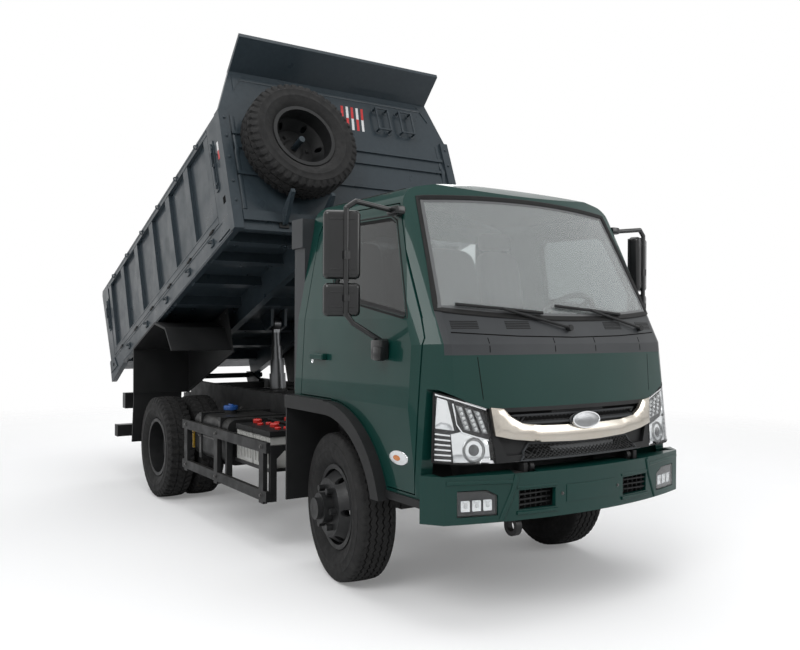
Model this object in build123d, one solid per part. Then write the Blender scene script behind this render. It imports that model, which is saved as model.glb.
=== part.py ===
"""Light dump truck: chassis, tilting cab, tipping bed with drop sides, twin rear wheels and hoist."""
import os
from math import atan2, cos, degrees, hypot, radians, sin, sqrt

from build123d import *

# Wheels and axles. X = 0 at the rear axle, +X forward, +Y left, Z = 0 on the ground, all in mm.
WHEELBASE = 2720
TYRE_R = 402
TYRE_W = 214
RIM_R = 212
RIM_FLANGE_R = 228
RIM_W = 164
WHEEL_OFFSET = 124
NAVE_R = 152
HUB_R = 82
STUD_PCD_R = 111
STUD_COUNT = 6
HAND_HOLES = 6
FRONT_TRACK = 1480
REAR_TWIN_Y = 753
SPINDLE_R = 30
KINGPIN_Y = 600
KINGPIN_R = 18
STEER_DEG = -6.8
TIE_ROD_BACK = 190
TIE_ROD_Z = 352

# Chassis
RAIL_Y = 360
RAIL_W = 60
RAIL_Z0 = 600
RAIL_Z1 = 750
RAIL_T = 8
SEAM = 0.3
TOW_EYE_Z = 452
TOW_PIN_X = -1232
DASH_HALF_W = 690
FRAME_X0 = -1040
FRAME_X1 = 3640
SUB_Z1 = 868
SUB_X1 = 1680
BUMPER_FRONT_X = 3785
BUMPER_Z0 = 488
BUMPER_Z1 = 706
BUMPER_T = 22

# Cab
CAB_REAR_X = 2280
CAB_HALF_W = 862
CAB_SILL_Z = 592
CAB_FRONT_X = 3738
CAB_FRONT_Z = 750
CAB_BEND_Z = 1300
CAB_WALL = 46
LOWER_RAKE = -0.115
NOSE_SAG = 84
NOSE_EDGE_Y = 715
UPPER_RAKE = -0.52
ARCH_R = 516
ARCH_Z = 918
CAB_PIVOT_X = 3700
CAB_PIVOT_Z = 722
DOOR_GAP = 6
DOOR_HINGE_X = 3484
DOOR_HINGE_Y = 858
FLOOR_Z = 930
TUNNEL_HALF_W = 350
TUNNEL_Z = 1110
FLOOR_T = 20

# Bed, built lowered and then turned about its hinge
BED_RAISED_DEG = 20.3
BED_MAX_DEG = 45.0
HINGE_X = -1057
HINGE_Z = 891
BED_BASE_Z = 1021
BED_BASE_X = -1087
BED_FRONT_L = 2865
BED_TAIL_L = -330
BED_HALF_W = 950
BED_RAIL_H = 150
BED_SIDE_H = 890
GATE_T = 52
BEAM_H = 118
SPARE_Y = -450
SPARE_ZB = 625

# Telescopic hoist: pivots from the bed hinge with the bed lowered
HOIST_LOW = (1300, -250)
HOIST_TOP = (1322, 50)
HOIST_STAGES = 4
HOIST_BARREL_R = 78
HOIST_STEP_R = 10.3
HOIST_TUBE_L = 322

# Row origin: middle of the whole length
ORIGIN_X = 984.2


def face(points):
    return make_face(Polyline(*points, close=True))


def prism_y(points, y0, y1):
    """Polygon in X, Z pulled along Y."""
    plane = Plane(origin=(0, y0, 0), x_dir=(1, 0, 0), z_dir=(0, -1, 0))
    sketch = plane * face([(x, z) for x, z in points])
    return Part() + extrude(sketch, amount=-(y1 - y0))


def prism_x(points, x0, x1):
    """Polygon in Y, Z pulled along X."""
    plane = Plane(origin=(x0, 0, 0), x_dir=(0, 1, 0), z_dir=(1, 0, 0))
    return Part() + extrude(plane * face(points), amount=x1 - x0)


def prism_z(points, z0, z1):
    """Polygon in X, Y pulled along Z."""
    return Part() + extrude(Plane.XY.offset(z0) * face(points), amount=z1 - z0)


def box(x0, x1, y0, y1, z0, z1):
    size = (x1 - x0, y1 - y0, z1 - z0)
    middle = ((x0 + x1) / 2, (y0 + y1) / 2, (z0 + z1) / 2)
    return Part() + Pos(*middle) * Box(*size)


def rod(p0, p1, radius):
    """Round bar between two points."""
    a = Vector(*p0)
    b = Vector(*p1)
    plane = Plane(origin=a, z_dir=b - a)
    return Part() + plane * Cylinder(radius, (b - a).length, align=(Align.CENTER, Align.CENTER, Align.MIN))


def pipe(points, radius):
    """Round bar along a run of straight lengths with ball corners."""
    solid = Part()
    for p0, p1 in zip(points, points[1:]):
        solid += rod(p0, p1, radius)
    for p in points[1:-1]:
        solid += Pos(*p) * Sphere(radius)
    return solid


def spin_y(points, x=0, y=0, z=0):
    """Outline in radius, Y spun about the Y axis through a point."""
    ring = revolve(face(points), Axis.Y)
    return Part() + Pos(x, y, z) * ring


def common(first, *others):
    """Shared volume of several solids, without loose faces or edges."""
    shared = first
    for other in others:
        shared = Part() + (shared & other).solids()
    return shared


def cut(first, *others):
    """A solid less several others, without loose faces or edges."""
    left = first
    for other in others:
        left = Part() + (left - other).solids()
    return left


def both_sides(solid):
    return solid + mirror(solid, Plane.XZ)


# Wheels, made at the origin with the nave toward +Y

def wheel_rim():
    half = RIM_W / 2
    inner = RIM_R - 9
    outline = [
        (RIM_FLANGE_R, -half), (RIM_FLANGE_R, -half + 8), (RIM_R, -half + 8), (RIM_R, half - 8),
        (RIM_FLANGE_R, half - 8), (RIM_FLANGE_R, half), (inner, half), (inner, 52),
        (NAVE_R + 4, WHEEL_OFFSET), (HUB_R - 4, WHEEL_OFFSET), (HUB_R - 4, WHEEL_OFFSET - 12),
        (NAVE_R - 2, WHEEL_OFFSET - 12), (inner, 34), (inner, -half),
    ]
    rim = spin_y(outline)
    holes = PolarLocations(178, HAND_HOLES)
    axis = Plane(origin=(0, 0, 0), x_dir=(1, 0, 0), z_dir=(0, 1, 0))
    cutters = [axis * loc * Cylinder(18, 400) for loc in holes]
    return rim - cutters


def studs(y0, y1):
    axis = Plane(origin=(0, y0, 0), x_dir=(1, 0, 0), z_dir=(0, 1, 0))
    nut = Cylinder(17, y1 - y0, align=(Align.CENTER, Align.CENTER, Align.MIN))
    return [axis * loc * nut for loc in PolarLocations(STUD_PCD_R, STUD_COUNT)]


def front_wheel():
    rim = wheel_rim()
    hub = rod((0, 62, 0), (0, 176, 0), HUB_R) + rod((0, 176, 0), (0, 204, 0), 58)
    hub += rod((0, 100, 0), (0, WHEEL_OFFSET - 12, 0), NAVE_R - 6)
    rim = rim + hub + studs(WHEEL_OFFSET - 1, WHEEL_OFFSET + 34)
    return rim - rod((0, 0, 0), (0, 160, 0), SPINDLE_R + 0.06)


def rear_wheel_pair():
    """Twin rims about the middle of the pair, naves face to face, hub through both."""
    outer = Pos(0, WHEEL_OFFSET, 0) * (Rot(0, 0, 180) * wheel_rim())
    inner = Pos(0, -WHEEL_OFFSET, 0) * wheel_rim()
    hub = rod((0, -70, 0), (0, 96, 0), HUB_R) + rod((0, 96, 0), (0, 118, 0), 62)
    pair = outer + inner + hub + studs(11, 44)
    return pair - rod((0, -90, 0), (0, 70, 0), SPINDLE_R + 12.06)


def tyre():
    half = TYRE_W / 2
    bead = RIM_W / 2 - 10
    outline = [
        (RIM_R + 0.3, -bead), (RIM_FLANGE_R + 3, -bead), (290, -half + 2), (330, -half), (372, -half + 12),
        (TYRE_R, -half + 32), (TYRE_R, half - 32), (372, half - 12), (330, half), (290, half - 2),
        (RIM_FLANGE_R + 3, bead), (RIM_R + 0.3, bead),
    ]
    return spin_y(outline)


def steered(solid, side):
    """Turn a front piece about its king pin into the pose of the picture."""
    pin = (WHEELBASE, side * KINGPIN_Y, 0)
    return Pos(*pin) * (Rot(0, 0, STEER_DEG) * (Pos(-pin[0], -pin[1], 0) * solid))


def place_front(solid, side):
    turned = solid if side > 0 else Rot(0, 0, 180) * solid
    placed = Pos(WHEELBASE, side * FRONT_TRACK / 2, TYRE_R) * turned
    return steered(placed, side)


def place_rear(solid, side):
    turned = solid if side > 0 else Rot(0, 0, 180) * solid
    return Pos(0, side * REAR_TWIN_Y, TYRE_R) * turned


def rear_tyre_pair():
    return (Pos(0, WHEEL_OFFSET, 0) * tyre()) + (Pos(0, -WHEEL_OFFSET, 0) * tyre())


# Chassis

def chassis_frame():
    """Two channel rails with cab brackets; hangers, outriggers and crossmembers are separate solids."""
    frame = Part()
    for side in (1, -1):
        y_out = side * RAIL_Y
        y_in = side * (RAIL_Y - RAIL_W)
        low, high = sorted((y_out, y_in))
        rail = box(FRAME_X0, FRAME_X1, low, high, RAIL_Z0, RAIL_Z1)
        slot_low, slot_high = sorted((y_out - side * RAIL_T, y_in - side * 1))
        rail -= box(FRAME_X0 - 1, FRAME_X1 + 1, slot_low, slot_high, RAIL_Z0 + RAIL_T, RAIL_Z1 - RAIL_T)
        bracket = prism_y(
            [(FRAME_X1 - 120, 640), (FRAME_X1 + 40, 640), (CAB_PIVOT_X + 12, CAB_PIVOT_Z - 23),
             (CAB_PIVOT_X, CAB_PIVOT_Z + 26), (FRAME_X1 - 120, RAIL_Z1 - RAIL_T + 2)], side * 346, side * 322)
        bracket += rod((CAB_PIVOT_X, side * 322, CAB_PIVOT_Z), (CAB_PIVOT_X, side * 346, CAB_PIVOT_Z), 26)
        bracket -= rod((CAB_PIVOT_X, 0, CAB_PIVOT_Z), (CAB_PIVOT_X, side * 400, CAB_PIVOT_Z), 14.06)
        frame += rail + bracket
        low, high = sorted((side * 290, side * 356))
        for x in (WHEELBASE - 560, WHEELBASE + 560):
            frame += box(x - 35, x + 35, low, high, 560, RAIL_Z0 - SEAM)
        low, high = sorted((side * (RAIL_Y + SEAM), side * 465))
        for x in (-620, 620):
            frame += box(x - 45, x + 45, low, high, 545, 690)
    reach = RAIL_Y - RAIL_T - SEAM
    for x in (-980, -560, 640, 1150, 1780, 3420):
        frame += box(x - 35, x + 35, -reach, reach, RAIL_Z0 + 48, RAIL_Z1 - 22)
    return frame


def tipper_subframe():
    """Beams on the rails, hinge ears with their shaft, crossmembers and hoist plates as separate solids."""
    sub = Part()
    beam_in = RAIL_Y - 56
    for side in (1, -1):
        low, high = sorted((side * RAIL_Y, side * beam_in))
        beam = box(HINGE_X + 150, SUB_X1, low, high, RAIL_Z1, SUB_Z1)
        beam -= prism_y(
            [(SUB_X1 - 150, SUB_Z1 + 1), (SUB_X1 + 1, RAIL_Z1 + 40), (SUB_X1 + 1, SUB_Z1 + 1)], low, high)
        ear_low, ear_high = sorted((side * (beam_in - SEAM), side * (beam_in - 28)))
        ear = prism_y(
            [(HINGE_X + 260, RAIL_Z1), (HINGE_X + 30, RAIL_Z1), (HINGE_X - 42, HINGE_Z - 20),
             (HINGE_X - 42, HINGE_Z + 34), (HINGE_X + 42, HINGE_Z + 34), (HINGE_X + 260, SUB_Z1 - 10)],
            ear_low, ear_high)
        ear -= rod((HINGE_X, ear_low - 1, HINGE_Z), (HINGE_X, ear_high + 1, HINGE_Z), 24 + SEAM)
        sub += beam
        sub += ear
    for x in (-700, 60, 430, 1150, 1600):
        reach = beam_in - SEAM
        if x == -700:
            reach = beam_in - 28 - SEAM
        sub += box(x - 32, x + 32, -reach, reach, RAIL_Z1 + 12, SUB_Z1 - 20)
    low_x = HINGE_X + HOIST_LOW[0]
    low_z = HINGE_Z + HOIST_LOW[1]
    for side in (1, -1):
        plate_low, plate_high = sorted((side * 104, side * 128))
        plate = box(92 + SEAM, 398 - SEAM, plate_low, plate_high, low_z - 36, SUB_Z1 - 24)
        sub += plate - rod((low_x, side * 80, low_z), (low_x, side * 140, low_z), 20.06)
    return sub + rod((HINGE_X, -420, HINGE_Z), (HINGE_X, 420, HINGE_Z), 24)


def bumper_plan(grow):
    """Plan outline of the bumper, moved out by a given amount."""
    front = BUMPER_FRONT_X + grow
    edge = 3655 + grow * 0.9
    side = 868 + grow
    nose = ThreePointArc((edge, -800 - grow), (front, 0), (edge, 800 + grow))
    right = Line((edge, 800 + grow), (3560, side))
    back = Line((3560, side), (3560, -side))
    left = Line((3560, -side), (edge, -800 - grow))
    return make_face([nose, right, back, left])


def front_bumper():
    solid = Part() + extrude(Plane.XY.offset(BUMPER_Z0) * bumper_plan(0), amount=BUMPER_Z1 - BUMPER_Z0)
    core = Part() + extrude(
        Plane.XY.offset(BUMPER_Z0 - 1) * bumper_plan(-BUMPER_T), amount=BUMPER_Z1 - BUMPER_Z0 - BUMPER_T + 1)
    shell = solid - core
    shell -= box(3500, 3640, -800, 800, BUMPER_Z0 - 5, BUMPER_Z1 + 5)
    windows = box(3600, 3900, 232, 438, 536, 626)
    lamps = prism_x([(545, 520), (742, 520), (742, 640), (600, 640), (545, 610)], 3500, 3900)
    shell -= windows + mirror(windows, Plane.XZ) + lamps + mirror(lamps, Plane.XZ)
    lip_outline = [(236, BUMPER_Z0), (434, BUMPER_Z0), (450, 505), (450, 512), (220, 512), (220, 505)]
    lip = prism_x(lip_outline, 3730, 3742)
    lip_in = Part() + extrude(Plane.XY.offset(480) * bumper_plan(-4), amount=60)
    shell += common(lip + mirror(lip, Plane.XZ), lip_in)
    for side in (1, -1):
        low, high = sorted((side * 312, side * 402))
        shell -= box(3600, 3746, low, high, 670, BUMPER_Z1 + 5)
        low, high = sorted((side * 318, side * 298))
        shell += box(FRAME_X1, 3764, low, high, 628, 668)
    hook_y = -432
    hook = rod((3700, hook_y - 16, TOW_EYE_Z), (3700, hook_y + 16, TOW_EYE_Z), 46)
    hook += box(3654, 3700, hook_y - 16, hook_y + 16, TOW_EYE_Z, 690)
    hook -= rod((3700, hook_y - 30, TOW_EYE_Z), (3700, hook_y + 30, TOW_EYE_Z), 24)
    shell += hook
    return shell


def fog_lamps():
    outer = Part() + extrude(Plane.XY.offset(500) * bumper_plan(-8), amount=160)
    outer -= Part() + extrude(Plane.XY.offset(499) * bumper_plan(-48), amount=162)
    cell = prism_x([(545, 520), (742, 520), (742, 640), (600, 640), (545, 610)], 3500, 3900)
    return both_sides(common(outer, cell))


def engine():
    """Engine, gearbox, propeller shaft and radiator as separate solids."""
    block = box(2380, 3200, -270, 270, 560, 1050)
    block += box(2480, 3100, -190, 190, 470, 560)
    for side in (1, -1):
        low, high = sorted((side * 270, side * 300))
        block += box(2500, 2700, low, high, 640, 760)
    gearbox = box(1900, 2380 - SEAM, -150, 150, 520, 820)
    shaft = rod((1895, 0, 599.5), (304, 0, 452), 42)
    radiator = box(3290, 3360, -285, 285, 640, 1060)
    radiator += box(3290, 3385, -300, 300, 622, 660)
    return block + gearbox + shaft + radiator


def front_axle():
    beam = box(WHEELBASE - 36, WHEELBASE + 36, -430, 430, 352, 428)
    for side in (1, -1):
        low, high = sorted((side * 420, side * (KINGPIN_Y - 26)))
        beam += box(WHEELBASE - 30, WHEELBASE + 30, low, high, 362, 446)
        beam += rod((WHEELBASE, side * KINGPIN_Y, 360), (WHEELBASE, side * KINGPIN_Y, 448), 38)
    for side in (1, -1):
        beam -= rod((WHEELBASE, side * KINGPIN_Y, 340), (WHEELBASE, side * KINGPIN_Y, 460), KINGPIN_R + 0.06)
    return beam


def knuckle(side):
    """Yoke around the axle end, stub axle and steering arm."""
    x = WHEELBASE
    y = side * KINGPIN_Y
    low, high = sorted((y + side * 44, y + side * 74))
    solid = box(x - 40, x + 40, low, high, 300, 508)
    low, high = sorted((y, y + side * 60))
    for z0, z1 in ((454, 494), (314, 354)):
        solid += box(x - 40, x + 40, low, high, z0, z1) + rod((x, y, z0), (x, y, z1), 40)
    solid += rod((x, y, 314), (x, y, 494), KINGPIN_R)
    solid += rod((x, y + side * 70, TYRE_R), (x, side * (FRONT_TRACK / 2 + 156), TYRE_R), SPINDLE_R)
    arm_low, arm_high = sorted((y - side * 22, y + side * 22))
    solid += box(x - TIE_ROD_BACK, x, arm_low, arm_high, 316, 338)
    solid += rod((x - TIE_ROD_BACK, y, 316), (x - TIE_ROD_BACK, y, 338), 26)
    solid += rod((x - TIE_ROD_BACK, y, 320), (x - TIE_ROD_BACK, y, 372), 9)
    return steered(solid, side)


def tie_rod_points():
    ends = []
    for side in (1, -1):
        x = -TIE_ROD_BACK * cos(radians(STEER_DEG))
        y = -TIE_ROD_BACK * sin(radians(STEER_DEG))
        ends.append((WHEELBASE + x, side * KINGPIN_Y + y, TIE_ROD_Z + 6))
    return ends


def tie_rod():
    left, right = tie_rod_points()
    bar = rod(left, right, 13)
    for x, y, z in (left, right):
        bar += rod((x, y, z - 18), (x, y, z + 10), 22)
    for x, y, z in (left, right):
        bar -= rod((x, y, z - 40), (x, y, z + 40), 9.06)
    return bar


def rear_axle():
    axle = rod((0, -640, TYRE_R), (0, 640, TYRE_R), 62)
    bulge = [(0, -170), (140, -120), (176, -50), (176, 50), (140, 120), (0, 170)]
    axle += spin_y(bulge, 0, 0, TYRE_R)
    axle += rod((150, 0, 424), (298, 0, 451), 62)
    axle += rod((0, -800, TYRE_R), (0, 800, TYRE_R), SPINDLE_R + 12)
    for side in (1, -1):
        low, high = sorted((side * 385, side * 455))
        axle += box(-70, 70, low, high, TYRE_R + 40, TYRE_R + 78)
    return axle


def leaf_pack(x, z, y0, y1, reach, rise, leaves, leaf_t):
    """Leaves as bent strips, the longest on top."""
    pack = Part()
    for i in range(leaves):
        part = 1 - i / (leaves + 1)
        half = reach * part
        lift = rise * part * part
        drop = -i * leaf_t
        strip = [
            (x - half, z + lift + drop), (x - half * 0.5, z + lift * 0.28 + drop), (x, z + drop),
            (x + half * 0.5, z + lift * 0.28 + drop), (x + half, z + lift + drop),
            (x + half, z + lift + drop + leaf_t), (x + half * 0.5, z + lift * 0.28 + drop + leaf_t),
            (x, z + drop + leaf_t), (x - half * 0.5, z + lift * 0.28 + drop + leaf_t),
            (x - half, z + lift + drop + leaf_t),
        ]
        pack += prism_y(strip, y0, y1)
    return pack


def leaf_springs():
    springs = Part()
    for side in (1, -1):
        low, high = sorted((side * 292, side * 354))
        front = leaf_pack(WHEELBASE, 456, low, high, 590, 104 - 13, 3, 13)
        front += box(WHEELBASE - 60, WHEELBASE + 60, low, high, 428, 470)
        low, high = sorted((side * 385, side * 455))
        rear = leaf_pack(0, 524, low, high, 640, 21 - 14, 4, 14)
        rear += box(-70, 70, low, high, TYRE_R + 78, 530)
        springs += front + rear
    return springs


def fuel_tank():
    tank = box(692, 1330, -890, -372, 430, 740)
    edges = [e for e in tank.edges().filter_by(Axis.X)]
    tank = fillet(edges, 60)
    for x in (820, 1190):
        tank += box(x - 22, x + 22, -896, -RAIL_Y, 424, 748)
    return tank + rod((910, -700, 735), (910, -700, 775), 44)


def batteries():
    tray = box(1380, 1930, -860, -RAIL_Y, 474, 494)
    pack = tray
    for x0 in (1395, 1665):
        pack += box(x0, x0 + 255, -850, -380, 494, 690)
        pack += box(x0 - 6, x0 + 261, -856, -374, 690, 726)
        for y in (-500, -730):
            pack += rod((x0 + 60, y, 720), (x0 + 60, y, 744), 20)
    return pack + box(1390, 1920, -380, -RAIL_Y, 480, 640)


def side_guards():
    guards = Part()
    for side in (1, -1):
        low, high = sorted((side * 915, side * 943))
        frame = box(565, 2065, low, high, 615, 680) + box(565, 2065, low, high, 322, 385)
        for x in (640, 1240, 1990):
            frame += box(x - 32, x + 32, low, high, 306, 680)
        for x in (1405, 2100):
            y_in = side * RAIL_Y
            y_out = side * 915
            arm = prism_x(
                [(y_in, 660), (y_out, 660), (y_out, 322), (y_out - side * 40, 322),
                 (y_out - side * 40, 580), (y_out - side * 90, 625), (y_in, 625)], x - 60, x - 30)
            frame += arm
        guards += frame
    return guards


def tail_lamps():
    lamps = box(-1118, -1046, -930, -640, 622, 760)
    return both_sides(lamps)


def rear_bumper():
    bar = box(-1190, -1090, -978, 978, 362, 466)
    for side in (1, -1):
        low, high = sorted((side * 352, side * 300))
        bar += box(-1130, FRAME_X0, low, high, 400, 740)
        low, high = sorted((side * 340, side * 900))
        bar += box(-1046, FRAME_X0, low, high, 640, 700)
        low, high = sorted((side * 620, side * 930))
        bar += box(-1046, -1034, low, high, 620, 762)
    bar += box(-1130, FRAME_X0, -310, 310, 640, 700)
    bar += box(TOW_PIN_X - 32, -1110, -30, 30, 620, 720)
    return bar - rod((TOW_PIN_X, 0, 600), (TOW_PIN_X, 0, 740), 17)


def exhaust():
    box_x0, box_x1 = 1392, 2020
    muffler = rod((box_x0, 560, 560), (box_x1, 560, 560), 130)
    pipe_front = pipe([(box_x1 - 10, 560, 552), (2066, 470, 540), (2084, 250, 521), (2440, 236, 521)], 38)
    pipe_rear = pipe([(box_x0 + 10, 560, 560), (1200, 590, 500), (820, 820, 470), (760, 900, 462)], 34)
    hangers = Part()
    for x in (1480, 1880):
        hangers += box(x - 20, x + 20, RAIL_Y, 560, 640, 690)
    return muffler + pipe_front + pipe_rear + hangers


# Cab volumes

def raked_prism(inset, rake, base_x, base_z):
    """Plan of the cab as a prism whose axis leans back by the rake, through one point of the nose."""
    lean = hypot(1, rake)
    squeeze = 1 / lean

    def at(x, y):
        return ((x - CAB_FRONT_X) * squeeze, y)

    nose = CAB_FRONT_X - inset
    edge_x = nose - NOSE_SAG
    edge_y = NOSE_EDGE_Y - inset * 0.7
    shoulder_x = 3430 - inset
    shoulder_y = CAB_HALF_W + 14 - inset
    side = shoulder_y + 60
    mid = (3597 - inset * 0.85, 790 - inset * 0.85)
    rear = 1500
    front = ThreePointArc(at(edge_x, -edge_y), at(nose, 0), at(edge_x, edge_y))
    left = ThreePointArc(at(edge_x, edge_y), at(*mid), at(shoulder_x, shoulder_y))
    right = ThreePointArc(at(shoulder_x, -shoulder_y), at(mid[0], -mid[1]), at(edge_x, -edge_y))
    wall_left = Line(at(shoulder_x, shoulder_y), at(rear, side))
    back = Line(at(rear, side), at(rear, -side))
    wall_right = Line(at(rear, -side), at(shoulder_x, -shoulder_y))
    outline = make_face([front, left, wall_left, back, wall_right, right])
    axis = (rake * squeeze, 0, squeeze)
    plane = Plane(origin=(base_x, 0, base_z), x_dir=(squeeze, 0, -rake * squeeze), z_dir=axis)
    return Part() + extrude(plane * outline, amount=2500, both=True)


def cab_section(inset):
    """Front view of the cab: sides leaning in toward the roof."""
    foot = CAB_SILL_Z - 40
    w = CAB_HALF_W - inset
    top = 2152 - inset
    plane = Plane(origin=(2000, 0, 0), x_dir=(0, 1, 0), z_dir=(1, 0, 0))
    p = [(w - 8, foot), (w, 1000), (w - 22, 1420), (w - 122, 1960)]
    edge = (w - 212, 2086 - inset)
    turn = (w - 150, 2046 - inset * 0.8)
    roof = ThreePointArc(edge, (0, top), (-edge[0], edge[1]))
    lines = [Polyline(*p), ThreePointArc(p[-1], turn, edge), roof,
             ThreePointArc((-edge[0], edge[1]), (-turn[0], turn[1]), (-p[-1][0], p[-1][1])),
             Polyline(*[(-y, z) for y, z in reversed(p)]), Line((-p[0][0], foot), p[0])]
    return Part() + extrude(plane * make_face(lines), amount=2000)


def cab_side_profile(inset):
    """Side view of the cab: roof line and rear wall, with the arch cut away."""
    rear = CAB_REAR_X + inset
    top = 2200 - inset
    plane = Plane(origin=(0, 1200, 0), x_dir=(1, 0, 0), z_dir=(0, -1, 0))
    lines = [
        Polyline((3900, CAB_SILL_Z - 40), (rear, CAB_SILL_Z - 40), (rear, 2020 - inset)),
        ThreePointArc((rear, 2020 - inset), (rear + 26, 2106 - inset), (rear + 100, 2168 - inset)),
        ThreePointArc((rear + 100, 2168 - inset), (2800, top), (3292 - inset, 2072 - inset)),
        Polyline((3292 - inset, 2072 - inset), (3900, 1900), (3900, CAB_SILL_Z - 40)),
    ]
    return Part() + extrude(plane * make_face(lines), amount=2400)


def cab_volume(inset):
    """Outer form of the cab, pulled in by an inset: the nose, the raked screen, the sides and the roof."""
    bend_x = CAB_FRONT_X + LOWER_RAKE * (CAB_BEND_Z - CAB_FRONT_Z)
    lower = raked_prism(inset, LOWER_RAKE, CAB_FRONT_X, CAB_FRONT_Z)
    upper = raked_prism(inset, UPPER_RAKE, bend_x, CAB_BEND_Z)
    body = common(cab_section(inset), cab_side_profile(inset))
    sill = box(1500, 4200, -1200, 1200, CAB_SILL_Z, 2600)
    return common(common(common(lower, body), sill), upper)


def arch_cut(radius, top_z, y0, y1, rear=2200):
    """Space of the front wheel under the cab."""
    wheel = rod((WHEELBASE, y0, TYRE_R), (WHEELBASE, y1, TYRE_R), radius)
    wheel += box(rear, WHEELBASE, min(y0, y1), max(y0, y1), 200, top_z)
    return wheel


DOOR_OUTLINE = [
    (3500, 612), (3500, 1330), (3462, 1420), (3186, 1992), (2420, 2010), (2366, 1900), (2366, 700), (2366, 612)]
DOOR_WINDOW = [
    (3398, 1428), (3176, 1902), (3120, 1930), (2700, 1938), (2648, 1890), (2640, 1552), (2860, 1516)]
WINDSCREEN_CORNERS = [(734, 1462), (656, 2026)]
SCREEN_LOW_Z = 1424
COWL_Z0 = 1250
COWL_HALF_W = 745


def door_zone(grow, side):
    """Door outline pulled through the side of the cab, with the arch clear of it."""
    middle_x, middle_z = 2930, 1300
    points = []
    for x, z in DOOR_OUTLINE:
        dx = grow if x > middle_x else -grow
        dz = grow if z > middle_z else -grow
        points.append((x + dx, z + dz))
    low, high = sorted((side * 684, side * 960))
    zone = prism_y(points, low, high)
    return cut(zone, arch_cut(ARCH_R + 72 - grow, ARCH_Z + 76 - grow, low - 5, high + 5))


def windscreen_zone(grow=0):
    (y0, z0), (y1, z1) = WINDSCREEN_CORNERS
    plane = Plane(origin=(2600, 0, 0), x_dir=(0, 1, 0), z_dir=(1, 0, 0))
    bottom = ThreePointArc((y0 + grow, z0 - grow), (0, SCREEN_LOW_Z - grow), (-y0 - grow, z0 - grow))
    left = Line((-y0 - grow, z0 - grow), (-y1 - grow, z1 + grow))
    top = ThreePointArc((-y1 - grow, z1 + grow), (0, 2052 + grow), (y1 + grow, z1 + grow))
    right = Line((y1 + grow, z1 + grow), (y0 + grow, z0 - grow))
    return Part() + extrude(plane * make_face([bottom, left, top, right]), amount=1400)


def cowl_outline(x0, x1):
    """Left half of the panel below the windscreen, its top edge on the arc of the glass."""
    (y0, z0), _ = WINDSCREEN_CORNERS
    sag = z0 - SCREEN_LOW_Z
    radius = (y0 ** 2 + sag ** 2) / (2 * sag)
    middle = (y0 / 2, SCREEN_LOW_Z + radius - sqrt(radius ** 2 - y0 ** 2 / 4))
    edges = [Line((0, COWL_Z0), (COWL_HALF_W, COWL_Z0)), Line((COWL_HALF_W, COWL_Z0), (COWL_HALF_W, z0)),
             Line((COWL_HALF_W, z0), (y0, z0)), ThreePointArc((y0, z0), middle, (0, SCREEN_LOW_Z)),
             Line((0, SCREEN_LOW_Z), (0, COWL_Z0))]
    plane = Plane(origin=(x0, 0, 0), x_dir=(0, 1, 0), z_dir=(1, 0, 0))
    return Part() + extrude(plane * make_face(edges), amount=x1 - x0)


HEADLAMP = [(524, 700), (549, 1002), (640, 1030), (776, 1092), (900, 1098), (900, 700)]
GRILLE_HALF = [(0, 700), (524, 700), (549, 1002), (0, 1002)]
HALF_OPENING = [(-10, 700), (900, 700)] + HEADLAMP[4:0:-1] + [(-10, 1002)]


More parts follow.
